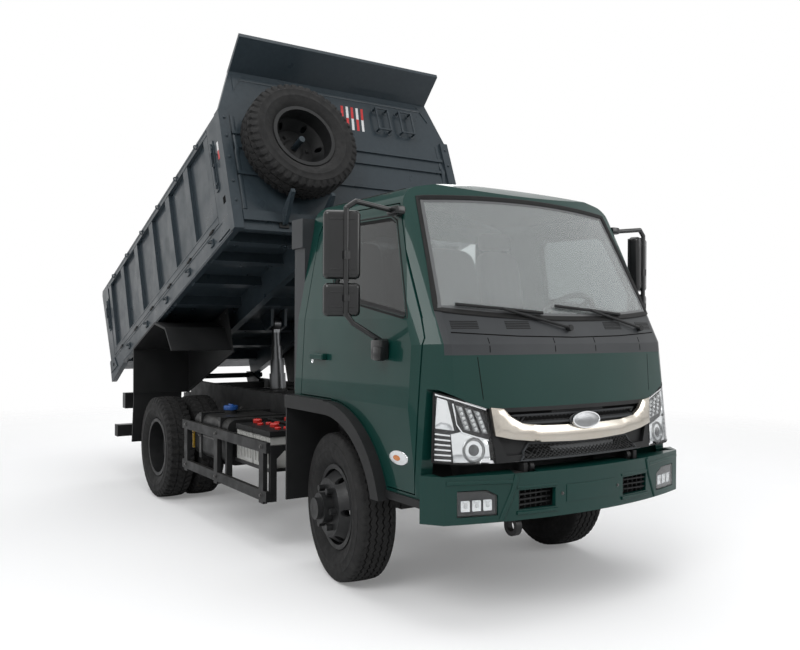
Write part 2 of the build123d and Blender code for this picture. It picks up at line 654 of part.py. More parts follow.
def build_cab():
    """Panels of the cab walls: the left half is cut from the walls, the right half mirrors it."""
    outer = cab_volume(0)
    inner = cab_volume(CAB_WALL)
    ledge = [
        box(1800, 3900, -10, 1000, 0, CAB_SILL_Z), box(3545, 3900, -10, 1000, 0, CAB_FRONT_Z),
        box(2200, 2760, -10, 1000, 0, ARCH_Z), box(2200, 3600, -10, 420, 0, ARCH_Z),
        arch_cut(ARCH_R, ARCH_Z, 380, 1000),
    ]
    screen = windscreen_zone()
    back_window = box(2200, 2400, -10, 470, 1500, 1930)
    opening = prism_x(HALF_OPENING, 3532, 3900)
    cowl_zone = cowl_outline(3476, 3900)
    nose = prism_y([(3506, 300), (3506, 1330), (3468, 1422), (3900, 1422), (3900, 300)], 0, 1000)
    roof_zone = box(2200, 3500, 0, 1000, 2034, 2300)
    rear_zone = box(2200, CAB_REAR_X + CAB_WALL, 0, 1000, 500, 2034)
    side_zone = box(CAB_REAR_X + CAB_WALL, 3700, 560, 1000, 500, 2034)

    def wall(zone, *cutters):
        shell = cut(common(outer, zone), inner)
        for cutter in cutters:
            shell = cut(shell, cutter)
        return shell

    def skin(depth, thick, zone):
        return cut(common(cab_volume(depth), zone), cab_volume(depth + thick))

    halves = {}
    halves["cab_roof"] = wall(roof_zone, screen)
    halves["cab_rear_wall"] = wall(rear_zone, back_window, *ledge)
    halves["cab_frame"] = wall(side_zone, nose, screen, cowl_zone, door_zone(DOOR_GAP, 1), *ledge)
    halves["cab_front_panel"] = wall(nose, opening, cowl_zone, *ledge)
    halves["cowl_panel"] = wall(cowl_zone, door_zone(DOOR_GAP, 1))
    halves["headlamps"] = wall(prism_x(HEADLAMP, 3532, 3900), *ledge)
    bar_zone = box(3532, 3900, 0, 536, 884, 926)
    bar = cut(wall(bar_zone), cab_volume(12))
    halves["grille_bar"] = bar
    mesh = prism_x([(-1, 938), (520, 938), (524, 982), (-1, 982)], 3532, 3900)
    mesh += prism_x([(-1, 782), (470, 782), (512, 872), (-1, 872)], 3532, 3900)
    pocket = cut(mesh, cab_volume(20))
    halves["grille"] = cut(wall(prism_x(GRILLE_HALF, 3532, 3900), *ledge), bar, pocket)
    halves["cab_glass"] = skin(4, 6, cut(screen, box(2000, 4000, -1000, 0, 0, 3000)))
    pieces = {name: half + mirror(half, Plane.XZ) for name, half in halves.items()}
    glass = skin(16, 6, box(2200, 2400, 0, 470, 1500, 1930))
    pieces["cab_glass"] = pieces["cab_glass"] + (glass + mirror(glass, Plane.XZ))
    window = prism_y(DOOR_WINDOW, 600, 980)
    door = cut(wall(door_zone(0, 1)), window) + door_handle(1)
    pane = skin(16, 6, common(window, door_zone(0, 1)))
    pieces["door_left"] = door
    pieces["door_right"] = mirror(door, Plane.XZ)
    pieces["door_glass_left"] = pane
    pieces["door_glass_right"] = mirror(pane, Plane.XZ)
    return outer, pieces


def cab_floor():
    """Floor with the engine tunnel and the pivot arms of the cab."""
    inside = cab_volume(CAB_WALL)
    t = FLOOR_T
    floor = common(box(CAB_REAR_X, 3660, -900, 900, FLOOR_Z, FLOOR_Z + t), inside)
    floor -= box(2000, 3460, -TUNNEL_HALF_W, TUNNEL_HALF_W, 0, FLOOR_Z + t + 1)
    for side in (1, -1):
        low, high = sorted((side * 765, side * 900))
        floor -= box(3370, 3700, low, high, FLOOR_Z - 1, FLOOR_Z + t + 1)
    hump = box(CAB_REAR_X + CAB_WALL, 3480, -TUNNEL_HALF_W - t, TUNNEL_HALF_W + t, FLOOR_Z, TUNNEL_Z + t)
    hump -= box(2000, 3460, -TUNNEL_HALF_W, TUNNEL_HALF_W, 0, TUNNEL_Z)
    floor += common(hump, inside)
    for side in (1, -1):
        low, high = sorted((side * 366, side * 390))
        arm = prism_y(
            [(3440, FLOOR_Z + 5), (3560, FLOOR_Z + 5), (3630, CAB_FRONT_Z - 5),
             (CAB_PIVOT_X + 26, CAB_FRONT_Z - 5), (CAB_PIVOT_X + 26, CAB_PIVOT_Z - 24),
             (CAB_PIVOT_X - 60, CAB_PIVOT_Z - 24), (3560, CAB_PIVOT_Z + 40)],
            low, high)
        pin_low, pin_high = sorted((side * 318, side * 390))
        arm += rod((CAB_PIVOT_X, pin_low, CAB_PIVOT_Z), (CAB_PIVOT_X, pin_high, CAB_PIVOT_Z), 14)
        floor += arm
    return floor


def wheel_arches(cab_outer):
    """Black flares on the cab sides, liners over the wheels and flaps behind them."""
    below = box(2000, 4000, 0, 1000, -400, 545)
    behind = box(2000, 2252, 0, 1000, -400, 2000)
    flare = rod((WHEELBASE, 846, TYRE_R), (WHEELBASE, 914, TYRE_R), ARCH_R + 62)
    flare += box(2252, WHEELBASE, 846, 914, 700, ARCH_Z + 66)
    flare = cut(flare, arch_cut(ARCH_R, ARCH_Z, 840, 920), below, behind, cab_outer)
    liner = rod((WHEELBASE, 400, TYRE_R), (WHEELBASE, 914, TYRE_R), ARCH_R)
    liner += box(2252, WHEELBASE, 400, 914, 600, ARCH_Z)
    liner = cut(liner, arch_cut(ARCH_R - 8, ARCH_Z - 8, 395, 920), below, behind)
    flap = box(2252, 2264, 560, 905, 372, ARCH_Z - 4)
    sill = box(3232, 3560, 780, 868, 556, CAB_SILL_Z)
    half = flare + liner + flap + sill
    return half + mirror(half, Plane.XZ)


def dashboard():
    body = prism_y(
        [(3330, 1240), (3340, 1392), (3430, 1412), (3520, 1380), (3580, 1250), (3560, 1131), (3420, 1131)],
        -DASH_HALF_W, DASH_HALF_W)
    body = common(body, cab_volume(CAB_WALL + 0.5))
    column = rod((3460, 420, 1150), (3190, 420, 1370), 30)
    legs = common(box(3482, 3600, -380, 380, FLOOR_Z + 20, 1170), cab_volume(CAB_WALL + 0.5))
    return body + column + legs


def steering_wheel():
    plane = Plane(origin=(3150, 420, 1402.6), z_dir=(-270, 0, 220))
    ring = Torus(205, 16)
    boss = Cylinder(48, 44)
    spokes = Part()
    for angle in (0, 120, 240):
        spokes += Rot(0, 0, angle + 90) * (Pos(105, 0, 0) * Box(200, 34, 14))
    return Part() + plane * (ring + boss + spokes)


def seats():
    pieces = Part()
    for y0, y1 in ((375, 680), (-680, -375), (-330, 330)):
        under = TUNNEL_Z + FLOOR_T + 0.3
        base = box(2500, 2960, y0, y1, under, 1226)
        back_side = [(2500, under), (2600, 1250), (2470, 1880), (2360, 1880), (2390, 1300), (2440, under)]
        back = prism_y(back_side, y0, y1)
        seat = base + back
        if abs(y0 + y1) > 10:
            seat += box(2500, 2930, y0 + 30, y1 - 30, FLOOR_Z + FLOOR_T, under + 4)
            middle = (y0 + y1) / 2
            head = box(2370, 2452, middle - 130, middle + 130, 1880, 1990)
            seat += head
        pieces += seat
    return pieces


def screen_x(y, z):
    """Front surface of the raked upper cab."""
    bend_x = CAB_FRONT_X + LOWER_RAKE * (CAB_BEND_Z - CAB_FRONT_Z)
    return bend_x + UPPER_RAKE * (z - CAB_BEND_Z) - NOSE_SAG * (y / NOSE_EDGE_Y) ** 2


def wipers():
    """Two arms that pivot toward the left and park with their blades toward the right."""
    arms = Part()
    for foot_y, tip_y in ((560, 180), (-20, -400)):
        foot_z, tip_z = 1372, 1470
        foot_x = screen_x(foot_y, foot_z)
        tip_x = screen_x(tip_y, tip_z)
        arms += rod((foot_x - 20, foot_y, foot_z), (foot_x + 26, foot_y, foot_z + 8), 15)
        arms += rod((foot_x + 20, foot_y, foot_z + 6), (tip_x + 22, tip_y, tip_z), 7)
        near_y, far_y = tip_y + 240, tip_y - 240
        near_x = screen_x(near_y, tip_z - 18)
        far_x = screen_x(far_y, tip_z + 18)
        blade = [(near_x + 12, near_y, tip_z - 18), (tip_x + 16, tip_y, tip_z), (far_x + 12, far_y, tip_z + 18)]
        arms += pipe(blade, 8)
    return arms


def intake_snorkel():
    duct = box(2150, CAB_REAR_X, -800, -690, 1000, 1900)
    duct += box(2140, CAB_REAR_X, -816, -660, 1840, 2010)
    return duct


def mirror_set(side):
    tube_y = side * 1052
    arm = pipe([(3236, side * 846, 1296), (3204, tube_y - side * 40, 1396), (3204, tube_y, 1440),
                (3204, tube_y, 1945), (3216, tube_y - side * 46, 1978), (3196, side * 752, 1950)], 13)
    turn = Pos(3160, tube_y, 0) * Rot(0, 0, side * 25)
    main = turn * (Pos(0, 0, 1772) * fillet(Box(76, 178, 330).edges(), 24))
    low = turn * (Pos(0, 0, 1508) * fillet(Box(76, 178, 160).edges(), 24))
    feet = rod((3236, side * 830, 1296), (3236, side * 862, 1296), 26)
    feet += rod((3196, side * 728, 1950), (3196, side * 766, 1950), 24)
    clamps = box(3176, 3216, tube_y - 16, tube_y + 16, 1700, 1740)
    clamps += box(3176, 3216, tube_y - 16, tube_y + 16, 1500, 1530)
    return arm + main + low + feet + clamps


def door_handle(side):
    low, high = sorted((side * 850, side * 884))
    return fillet(box(2500, 2650, low, high, 1196, 1232).edges(), 8)


# Bed pieces in lowered place; l runs forward from the bed base

def bed_x(l):
    return BED_BASE_X + l


def raise_bed(solid):
    return Pos(HINGE_X, 0, HINGE_Z) * (Rot(0, -BED_RAISED_DEG, 0) * (Pos(-HINGE_X, 0, -HINGE_Z) * solid))


def bed_box(l0, l1, y0, y1, z0, z1):
    return box(bed_x(l0), bed_x(l1), y0, y1, BED_BASE_Z + z0, BED_BASE_Z + z1)


def bed_prism_y(points, y0, y1):
    return prism_y([(bed_x(l), BED_BASE_Z + z) for l, z in points], y0, y1)


def bed_floor():
    floor = bed_box(BED_TAIL_L + 40, BED_FRONT_L, -BED_HALF_W + 10, BED_HALF_W - 10, 62, 92)
    for side in (1, -1):
        low, high = sorted((side * 906, side * BED_HALF_W))
        rail = bed_prism_y([(100, 0), (BED_FRONT_L, 0), (BED_FRONT_L, BED_RAIL_H), (BED_TAIL_L, BED_RAIL_H),
                            (BED_TAIL_L, -50), (BED_TAIL_L + 40, -50)], low, high)
        floor += rail
        low, high = sorted((side * 330, side * 390))
        beam = bed_box(0, BED_FRONT_L, low, high, -BEAM_H, 66)
        boss_x, boss_z = HINGE_X, HINGE_Z
        beam += rod((boss_x, low, boss_z), (boss_x, high, boss_z), 52)
        beam += box(boss_x - 52, boss_x + 52, low, high, boss_z, BED_BASE_Z + 66)
        beam -= rod((boss_x, low - 5, boss_z), (boss_x, high + 5, boss_z), 24.06)
        floor += beam
    front = BED_FRONT_L
    for l in (150, 560, 970, 1560, front - 885, front - 475, front - 165):
        floor += bed_box(l - 30, l + 30, -920, 920, -10, 70)
    top_l = HOIST_TOP[0] + HINGE_X - BED_BASE_X
    top_z = HOIST_TOP[1] + HINGE_Z - BED_BASE_Z
    for side in (1, -1):
        low, high = sorted((side * 50, side * 74))
        ear_outline = [(top_l - 130, 62), (top_l - 60, top_z - 40), (top_l + 60, top_z - 40), (top_l + 130, 62)]
        ear = bed_prism_y(ear_outline, low, high)
        floor += ear
    floor += bed_box(top_l - 130, top_l + 130, -380, 380, 20, 66)
    pin_x = HINGE_X + HOIST_TOP[0]
    pin_z = HINGE_Z + HOIST_TOP[1]
    floor += rod((pin_x, -74, pin_z), (pin_x, 74, pin_z), 16)
    for side in (1, -1):
        low, high = sorted((side * 894, side * BED_HALF_W))
        floor += bed_box(BED_FRONT_L - 210, BED_FRONT_L, low, high, BED_RAIL_H, BED_SIDE_H)
        floor += bed_prism_y([(BED_TAIL_L + 40, BED_RAIL_H), (BED_TAIL_L - 60, BED_SIDE_H - 40),
                              (BED_TAIL_L - 40, BED_SIDE_H),
                              (BED_TAIL_L + 150, BED_SIDE_H), (BED_TAIL_L + 190, BED_RAIL_H)], low, high)
    return floor


def headboard():
    l0, l1 = BED_FRONT_L, BED_FRONT_L + 36
    plane = Plane(origin=(bed_x(l0), 0, BED_BASE_Z), x_dir=(0, 1, 0), z_dir=(1, 0, 0))
    outline = [(-950, 0), (950, 0), (950, 890), (830, 1225), (-830, 1225), (-950, 890)]
    board = Part() + extrude(plane * face(outline), amount=l1 - l0)
    for z in (415, 616, 720):
        board += bed_box(l1, l1 + 14, -880, 880, z - 12, z + 12)
    board += bed_box(l1, l1 + 26, -890, 890, 60, 130)
    for side in (1, -1):
        low, high = sorted((side * 892, side * 962))
        board += bed_box(l0 - 20, l1 + 18, low, high, 0, 880) - bed_box(l0 - 30, l0, -960, 960, 0, 900)
    board += bed_prism_y([(l0, 1200), (l0 + 270, 1334), (l0 + 270, 1358), (l0, 1232)], -830, 830)
    for y0, y1 in ((316, 422), (527, 636)):
        grip = pipe([(bed_x(l1 - 6), y0, BED_BASE_Z + 910), (bed_x(l1 + 46), y0, BED_BASE_Z + 910),
                     (bed_x(l1 + 46), y0, BED_BASE_Z + 1090), (bed_x(l1 - 6), y0, BED_BASE_Z + 1090)], 8)
        grip += pipe([(bed_x(l1 - 6), y1, BED_BASE_Z + 910), (bed_x(l1 + 46), y1, BED_BASE_Z + 910),
                      (bed_x(l1 + 46), y1, BED_BASE_Z + 1090), (bed_x(l1 - 6), y1, BED_BASE_Z + 1090)], 8)
        board += grip
    reach = l1 + 120
    spare_z = BED_BASE_Z + SPARE_ZB
    board += rod((bed_x(l1 - 5), SPARE_Y, spare_z), (bed_x(reach + 62), SPARE_Y, spare_z), 22)
    for y in (SPARE_Y - 150, SPARE_Y + 150):
        board += bed_prism_y([(l1, 40), (l1 + 40, 40), (l1 + 210, 190), (l1 + 210, 214), (l1, 120)], y - 14, y + 14)
    return board


def spare_rim():
    rim = Rot(0, 0, 90) * wheel_rim()
    seat = BED_FRONT_L + 36 + 20 + WHEEL_OFFSET
    plate = rod((-WHEEL_OFFSET, 0, 0), (-WHEEL_OFFSET + 14, 0, 0), NAVE_R - 20) - rod((-200, 0, 0), (0, 0, 0), 22.4)
    return Pos(bed_x(seat), SPARE_Y, BED_BASE_Z + SPARE_ZB) * (rim + plate)


def spare_tyre():
    seat = BED_FRONT_L + 36 + 20 + WHEEL_OFFSET
    return Pos(bed_x(seat), SPARE_Y, BED_BASE_Z + SPARE_ZB) * (Rot(0, 0, 90) * tyre())


def side_gate(side):
    """Drop side with pressed ribs, hinged along its lower edge."""
    l0 = BED_TAIL_L + 196
    l1 = BED_FRONT_L - 214
    z0 = BED_RAIL_H + 6
    y_in = side * (BED_HALF_W - GATE_T)
    y_out = side * BED_HALF_W
    low, high = sorted((y_in, y_in + side * 26))
    slope = 40 * (BED_SIDE_H - z0) / 740
    panel = bed_prism_y([(l0, z0), (l1, z0), (l1, BED_SIDE_H), (l0 - slope, BED_SIDE_H)], low, high)
    low, high = sorted((y_in, y_out))
    panel += bed_box(l0 - slope + 6, l1, low, high, BED_SIDE_H - 56, BED_SIDE_H)
    panel += bed_box(l0, l1, low, high, z0, z0 + 60)
    count = 7
    step = (l1 - l0 - 60) / (count - 1)
    for i in range(count):
        l = l0 + 30 + i * step
        rib = bed_box(l - 48, l + 48, low, high, z0, BED_SIDE_H - 20)
        panel += common(rib, bed_box(l0, l1, -960, 960, 0, 900))
    return panel


def gate_axis(side):
    return (0, side * (BED_HALF_W + 2), BED_BASE_Z + BED_RAIL_H + 3)


def rear_fenders():
    fenders = Part()
    for side in (1, -1):
        low, high = sorted((side * 500, side * 984))
        outline = [(430, -390), (566, -14), (1200, -14), (1440, -150), (1530, -365)]
        inner = [(1514, -365), (1426, -160), (1194, -32), (578, -32), (448, -390)]
        fenders += bed_prism_y(outline + inner, low, high)
        flap_low, flap_high = sorted((side * 560, side * 980))
        fenders += bed_prism_y([(432, -380), (446, -384), (246, -768), (230, -764)], flap_low, flap_high)
    return fenders


def tailgate():
    l = BED_TAIL_L
    top = BED_SIDE_H - 10
    gate = bed_prism_y([(l + 30, 96), (l + 60, 96), (l - 30, top), (l - 60, top)], -888, 888)
    gate += bed_prism_y([(l + 12, 120), (l + 34, 120), (l + 26, 190), (l + 4, 190)], -888, 888)
    for y in (-700, -350, 0, 350, 700):
        gate += bed_prism_y([(l + 8, 110), (l + 34, 110), (l - 54, top - 10), (l - 80, top - 10)], y - 40, y + 40)
    bar_z = BED_BASE_Z + BED_SIDE_H + 18
    gate += rod((bed_x(l - 46), -893, bar_z), (bed_x(l - 46), 893, bar_z), 14)
    gate += bed_prism_y(
        [(l - 60, top - 20), (l - 30, top - 20), (l - 34, top + 34), (l - 58, top + 34)], -888, 888)
    return gate


def tailgate_axis():
    return (bed_x(BED_TAIL_L - 46), 0, BED_BASE_Z + BED_SIDE_H + 18)


def hoist_points():
    """Lower and upper pivots with the bed in its raised place."""
    low = (HINGE_X + HOIST_LOW[0], HINGE_Z + HOIST_LOW[1])
    a = radians(BED_RAISED_DEG)
    top_x = HINGE_X + HOIST_TOP[0] * cos(a) - HOIST_TOP[1] * sin(a)
    top_z = HINGE_Z + HOIST_TOP[0] * sin(a) + HOIST_TOP[1] * cos(a)
    return low, (top_x, top_z)


def hoist():
    """Barrel and telescopic stages along the line between the pivots."""
    low, top = hoist_points()
    length = hypot(top[0] - low[0], top[1] - low[1])
    lean = degrees(atan2(top[1] - low[1], top[0] - low[0]))
    frame = Pos(low[0], 0, low[1]) * Rot(0, 90 - lean, 0)
    base = -118
    closed = hypot(HOIST_TOP[0] - HOIST_LOW[0], HOIST_TOP[1] - HOIST_LOW[1])
    stage_out = (length - closed) / HOIST_STAGES
    pieces = {}
    barrel = rod((0, 0, base), (0, 0, base + HOIST_TUBE_L + 6), HOIST_BARREL_R)
    barrel -= rod((0, 0, base + 14), (0, 0, 900), HOIST_BARREL_R - 10)
    reach = HOIST_BARREL_R - 9
    barrel += rod((0, -132, 0), (0, 132, 0), 20) - rod((0, -reach, 0), (0, reach, 0), 30)
    pieces["hoist_barrel"] = frame * barrel
    radius = HOIST_BARREL_R - 10.3
    for i in range(HOIST_STAGES):
        z0 = base + 20 + i * 10 + stage_out * (i + 1)
        tube = rod((0, 0, z0), (0, 0, z0 + HOIST_TUBE_L - 10 * i), radius)
        if i < HOIST_STAGES - 1:
            tube -= rod((0, 0, z0 + 4), (0, 0, z0 + 900), radius - 10)
        else:
            tube += box(-22, 22, -27, 27, z0 + 200, length)
            tube += rod((0, -30, length), (0, 30, length), 52)
            tube -= rod((0, -60, length), (0, 60, length), 36)
        pieces["hoist_stage_%d" % (i + 1)] = frame * tube
        radius -= HOIST_STEP_R
    return pieces


def build_nodes():
    nodes = {}
    nodes["chassis_frame"] = chassis_frame()
    nodes["tipper_subframe"] = tipper_subframe()
    nodes["front_bumper"] = front_bumper()
    nodes["fog_lamps"] = fog_lamps()
    nodes["engine"] = engine()
    nodes["front_axle"] = front_axle()
    nodes["rear_axle"] = rear_axle()
    nodes["leaf_springs"] = leaf_springs()
    nodes["fuel_tank"] = fuel_tank()
    nodes["batteries"] = batteries()
    nodes["side_guards"] = side_guards()
    nodes["tail_lamps"] = tail_lamps()
    nodes["rear_bumper"] = rear_bumper()
    nodes["exhaust"] = exhaust()
    cab_outer, cab_pieces = build_cab()
    nodes.update(cab_pieces)
    for side, tag in ((1, "left"), (-1, "right")):
        nodes["mirror_" + tag] = cut(mirror_set(side), nodes["door_" + tag], nodes["cab_frame"])
    nodes["cab_floor"] = cab_floor()
    nodes["wheel_arches"] = wheel_arches(cab_outer)
    nodes["dashboard"] = dashboard()
    nodes["steering_wheel"] = steering_wheel()
    nodes["seats"] = seats()
    nodes["wipers"] = cut(wipers(), nodes["cowl_panel"], nodes["cab_glass"])
    nodes["intake_snorkel"] = intake_snorkel()
    rim = front_wheel()
    rubber = tyre()
    rear_rims = rear_wheel_pair()
    rear_rubber = rear_tyre_pair()
    for side, tag in ((1, "left"), (-1, "right")):
        nodes["knuckle_" + tag] = knuckle(side)
        nodes["front_rim_" + tag] = place_front(rim, side)
        nodes["front_tyre_" + tag] = place_front(rubber, side)
        nodes["rear_rims_" + tag] = place_rear(rear_rims, side)
        nodes["rear_tyres_" + tag] = place_rear(rear_rubber, side)
        nodes["side_gate_" + tag] = raise_bed(side_gate(side))
    nodes["tie_rod"] = tie_rod()
    nodes["bed_floor"] = raise_bed(bed_floor())
    nodes["headboard"] = raise_bed(headboard())
    nodes["spare_tyre"] = raise_bed(spare_tyre())
    nodes["spare_rim"] = raise_bed(spare_rim())
    nodes["rear_fenders"] = raise_bed(rear_fenders())
    nodes["tailgate"] = raise_bed(tailgate())
    nodes.update(hoist())
    return nodes


def main():
    os.makedirs("parts", exist_ok=True)
    for name, solid in build_nodes().items():
        placed = Pos(-ORIGIN_X, 0, 0) * solid
        export_step(placed, "parts/" + name + ".step")


if __name__ == "__main__":
    main()
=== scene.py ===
"""Looks of the light dump truck: materials, tyres, lamps, grille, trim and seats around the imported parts."""
from math import ceil, cos, hypot, pi, radians, sin

import bmesh
import bpy
from mathutils import Matrix, Vector
from mathutils.bvhtree import BVHTree
from mathutils.geometry import delaunay_2d_cdt, intersect_line_line_2d


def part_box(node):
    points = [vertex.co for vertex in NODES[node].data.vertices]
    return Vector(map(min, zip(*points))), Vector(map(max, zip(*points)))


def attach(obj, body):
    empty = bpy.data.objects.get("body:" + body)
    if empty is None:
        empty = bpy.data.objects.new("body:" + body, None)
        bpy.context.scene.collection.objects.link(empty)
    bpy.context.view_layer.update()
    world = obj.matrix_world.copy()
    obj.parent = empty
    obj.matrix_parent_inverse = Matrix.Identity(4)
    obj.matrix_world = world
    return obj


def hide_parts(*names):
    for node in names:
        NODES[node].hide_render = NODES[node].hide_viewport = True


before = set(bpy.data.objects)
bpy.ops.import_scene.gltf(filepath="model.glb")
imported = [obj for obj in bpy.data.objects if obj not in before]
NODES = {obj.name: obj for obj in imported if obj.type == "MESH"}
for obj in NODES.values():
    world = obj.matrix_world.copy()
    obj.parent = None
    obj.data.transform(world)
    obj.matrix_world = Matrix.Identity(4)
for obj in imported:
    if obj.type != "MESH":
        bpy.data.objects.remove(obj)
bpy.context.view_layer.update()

# Frame of the truck: x is measured from the rear axle and shifted to the part's own frame
ORIGIN_X = 0.9842
TYRE_R = 0.402
STEER = radians(-6.8)
BED_ANGLE = radians(20.3)
HINGE = (-1.057, 0.891)
BED_BASE = (-1.087, 1.021)
BED_HALF_W = 0.95


def at(x, y, z):
    return Vector((x - ORIGIN_X, y, z))


def on_bed(l, y, z):
    """A point of the raised bed, from its length, width and height on the lowered bed."""
    dx = BED_BASE[0] + l - HINGE[0]
    dz = BED_BASE[1] + z - HINGE[1]
    c, s = cos(BED_ANGLE), sin(BED_ANGLE)
    return at(HINGE[0] + dx * c - dz * s, y, HINGE[1] + dx * s + dz * c)


BED_ALONG = Vector((cos(BED_ANGLE), 0, sin(BED_ANGLE)))
BED_UP = Vector((-sin(BED_ANGLE), 0, cos(BED_ANGLE)))
AHEAD = Vector((1, 0, 0))
ACROSS = Vector((0, 1, 0))
UP = Vector((0, 0, 1))
SIDES = ((1, "left"), (-1, "right"))


# Materials

class Shader:
    """One procedural material, built up a step at a time around a Principled shader."""

    def __init__(self, name, color, roughness, **sockets):
        self.material = bpy.data.materials.new(name)
        self.material.use_nodes = True
        self.tree = self.material.node_tree
        self.bsdf = self.tree.nodes["Principled BSDF"]
        self.color = (*color, 1.0)
        self.bsdf.inputs["Base Color"].default_value = self.color
        self.bsdf.inputs["Roughness"].default_value = roughness
        self.roughness = roughness
        for socket, value in sockets.items():
            self.bsdf.inputs[socket.replace("_", " ")].default_value = value
        coords = self.tree.nodes.new("ShaderNodeTexCoord")
        self.place = coords.outputs["Object"]

    def node(self, kind, **inputs):
        made = self.tree.nodes.new(kind)
        for socket, value in inputs.items():
            made.inputs[socket.replace("_", " ")].default_value = value
        return made

    def link(self, source, target):
        self.tree.links.new(source, target)

    def noise(self, scale, detail=4.0, stretch=None):
        made = self.node("ShaderNodeTexNoise", Scale=scale, Detail=detail)
        if stretch:
            mapping = self.node("ShaderNodeMapping", Scale=stretch)
            self.link(self.place, mapping.inputs["Vector"])
            self.link(mapping.outputs["Vector"], made.inputs["Vector"])
        else:
            self.link(self.place, made.inputs["Vector"])
        return made.outputs["Fac"]

    def spread(self, source, low, high, start=0.3, end=0.7):
        made = self.node("ShaderNodeMapRange", From_Min=start, From_Max=end, To_Min=low, To_Max=high)
        self.link(source, made.inputs["Value"])
        return made.outputs["Result"]

    def blend_color(self, factor, other):
        """Mix the colour so far with another one, by a factor."""
        mix = self.tree.nodes.new("ShaderNodeMix")
        mix.data_type = "RGBA"
        base = self.bsdf.inputs["Base Color"]
        if base.is_linked:
            self.link(base.links[0].from_socket, mix.inputs["A"])
        else:
            mix.inputs["A"].default_value = base.default_value
        mix.inputs["B"].default_value = (*other, 1.0)
        self.link(factor, mix.inputs["Factor"])
        self.link(mix.outputs["Result"], base)
        return self

    def vary(self, scale, other, amount=1.0, start=0.35, end=0.7, stretch=None):
        return self.blend_color(self.spread(self.noise(scale, stretch=stretch), 0, amount, start, end), other)

    def vary_roughness(self, scale, shift):
        made = self.spread(self.noise(scale), self.roughness - shift, self.roughness + shift)
        self.link(made, self.bsdf.inputs["Roughness"])
        return self

    def bump(self, scale, strength, distance=0.001, stretch=None):
        node = self.node("ShaderNodeBump", Strength=strength, Distance=distance)
        self.link(self.noise(scale, stretch=stretch), node.inputs["Height"])
        normal = self.bsdf.inputs["Normal"]
        if normal.is_linked:
            self.link(normal.links[0].from_socket, node.inputs["Normal"])
        self.link(node.outputs["Normal"], normal)
        return self

    def dust(self, color, amount):
        """Settled dust on faces that look up, broken by noise."""
        geometry = self.tree.nodes.new("ShaderNodeNewGeometry")
        split = self.tree.nodes.new("ShaderNodeSeparateXYZ")
        self.link(geometry.outputs["Normal"], split.inputs["Vector"])
        facing = self.spread(split.outputs["Z"], 0, amount, 0.2, 1.0)
        both = self.tree.nodes.new("ShaderNodeMath")
        both.operation = "MULTIPLY"
        self.link(facing, both.inputs[0])
        self.link(self.spread(self.noise(7.0), 0.2, 1.0), both.inputs[1])
        return self.blend_color(both.outputs["Value"], color)


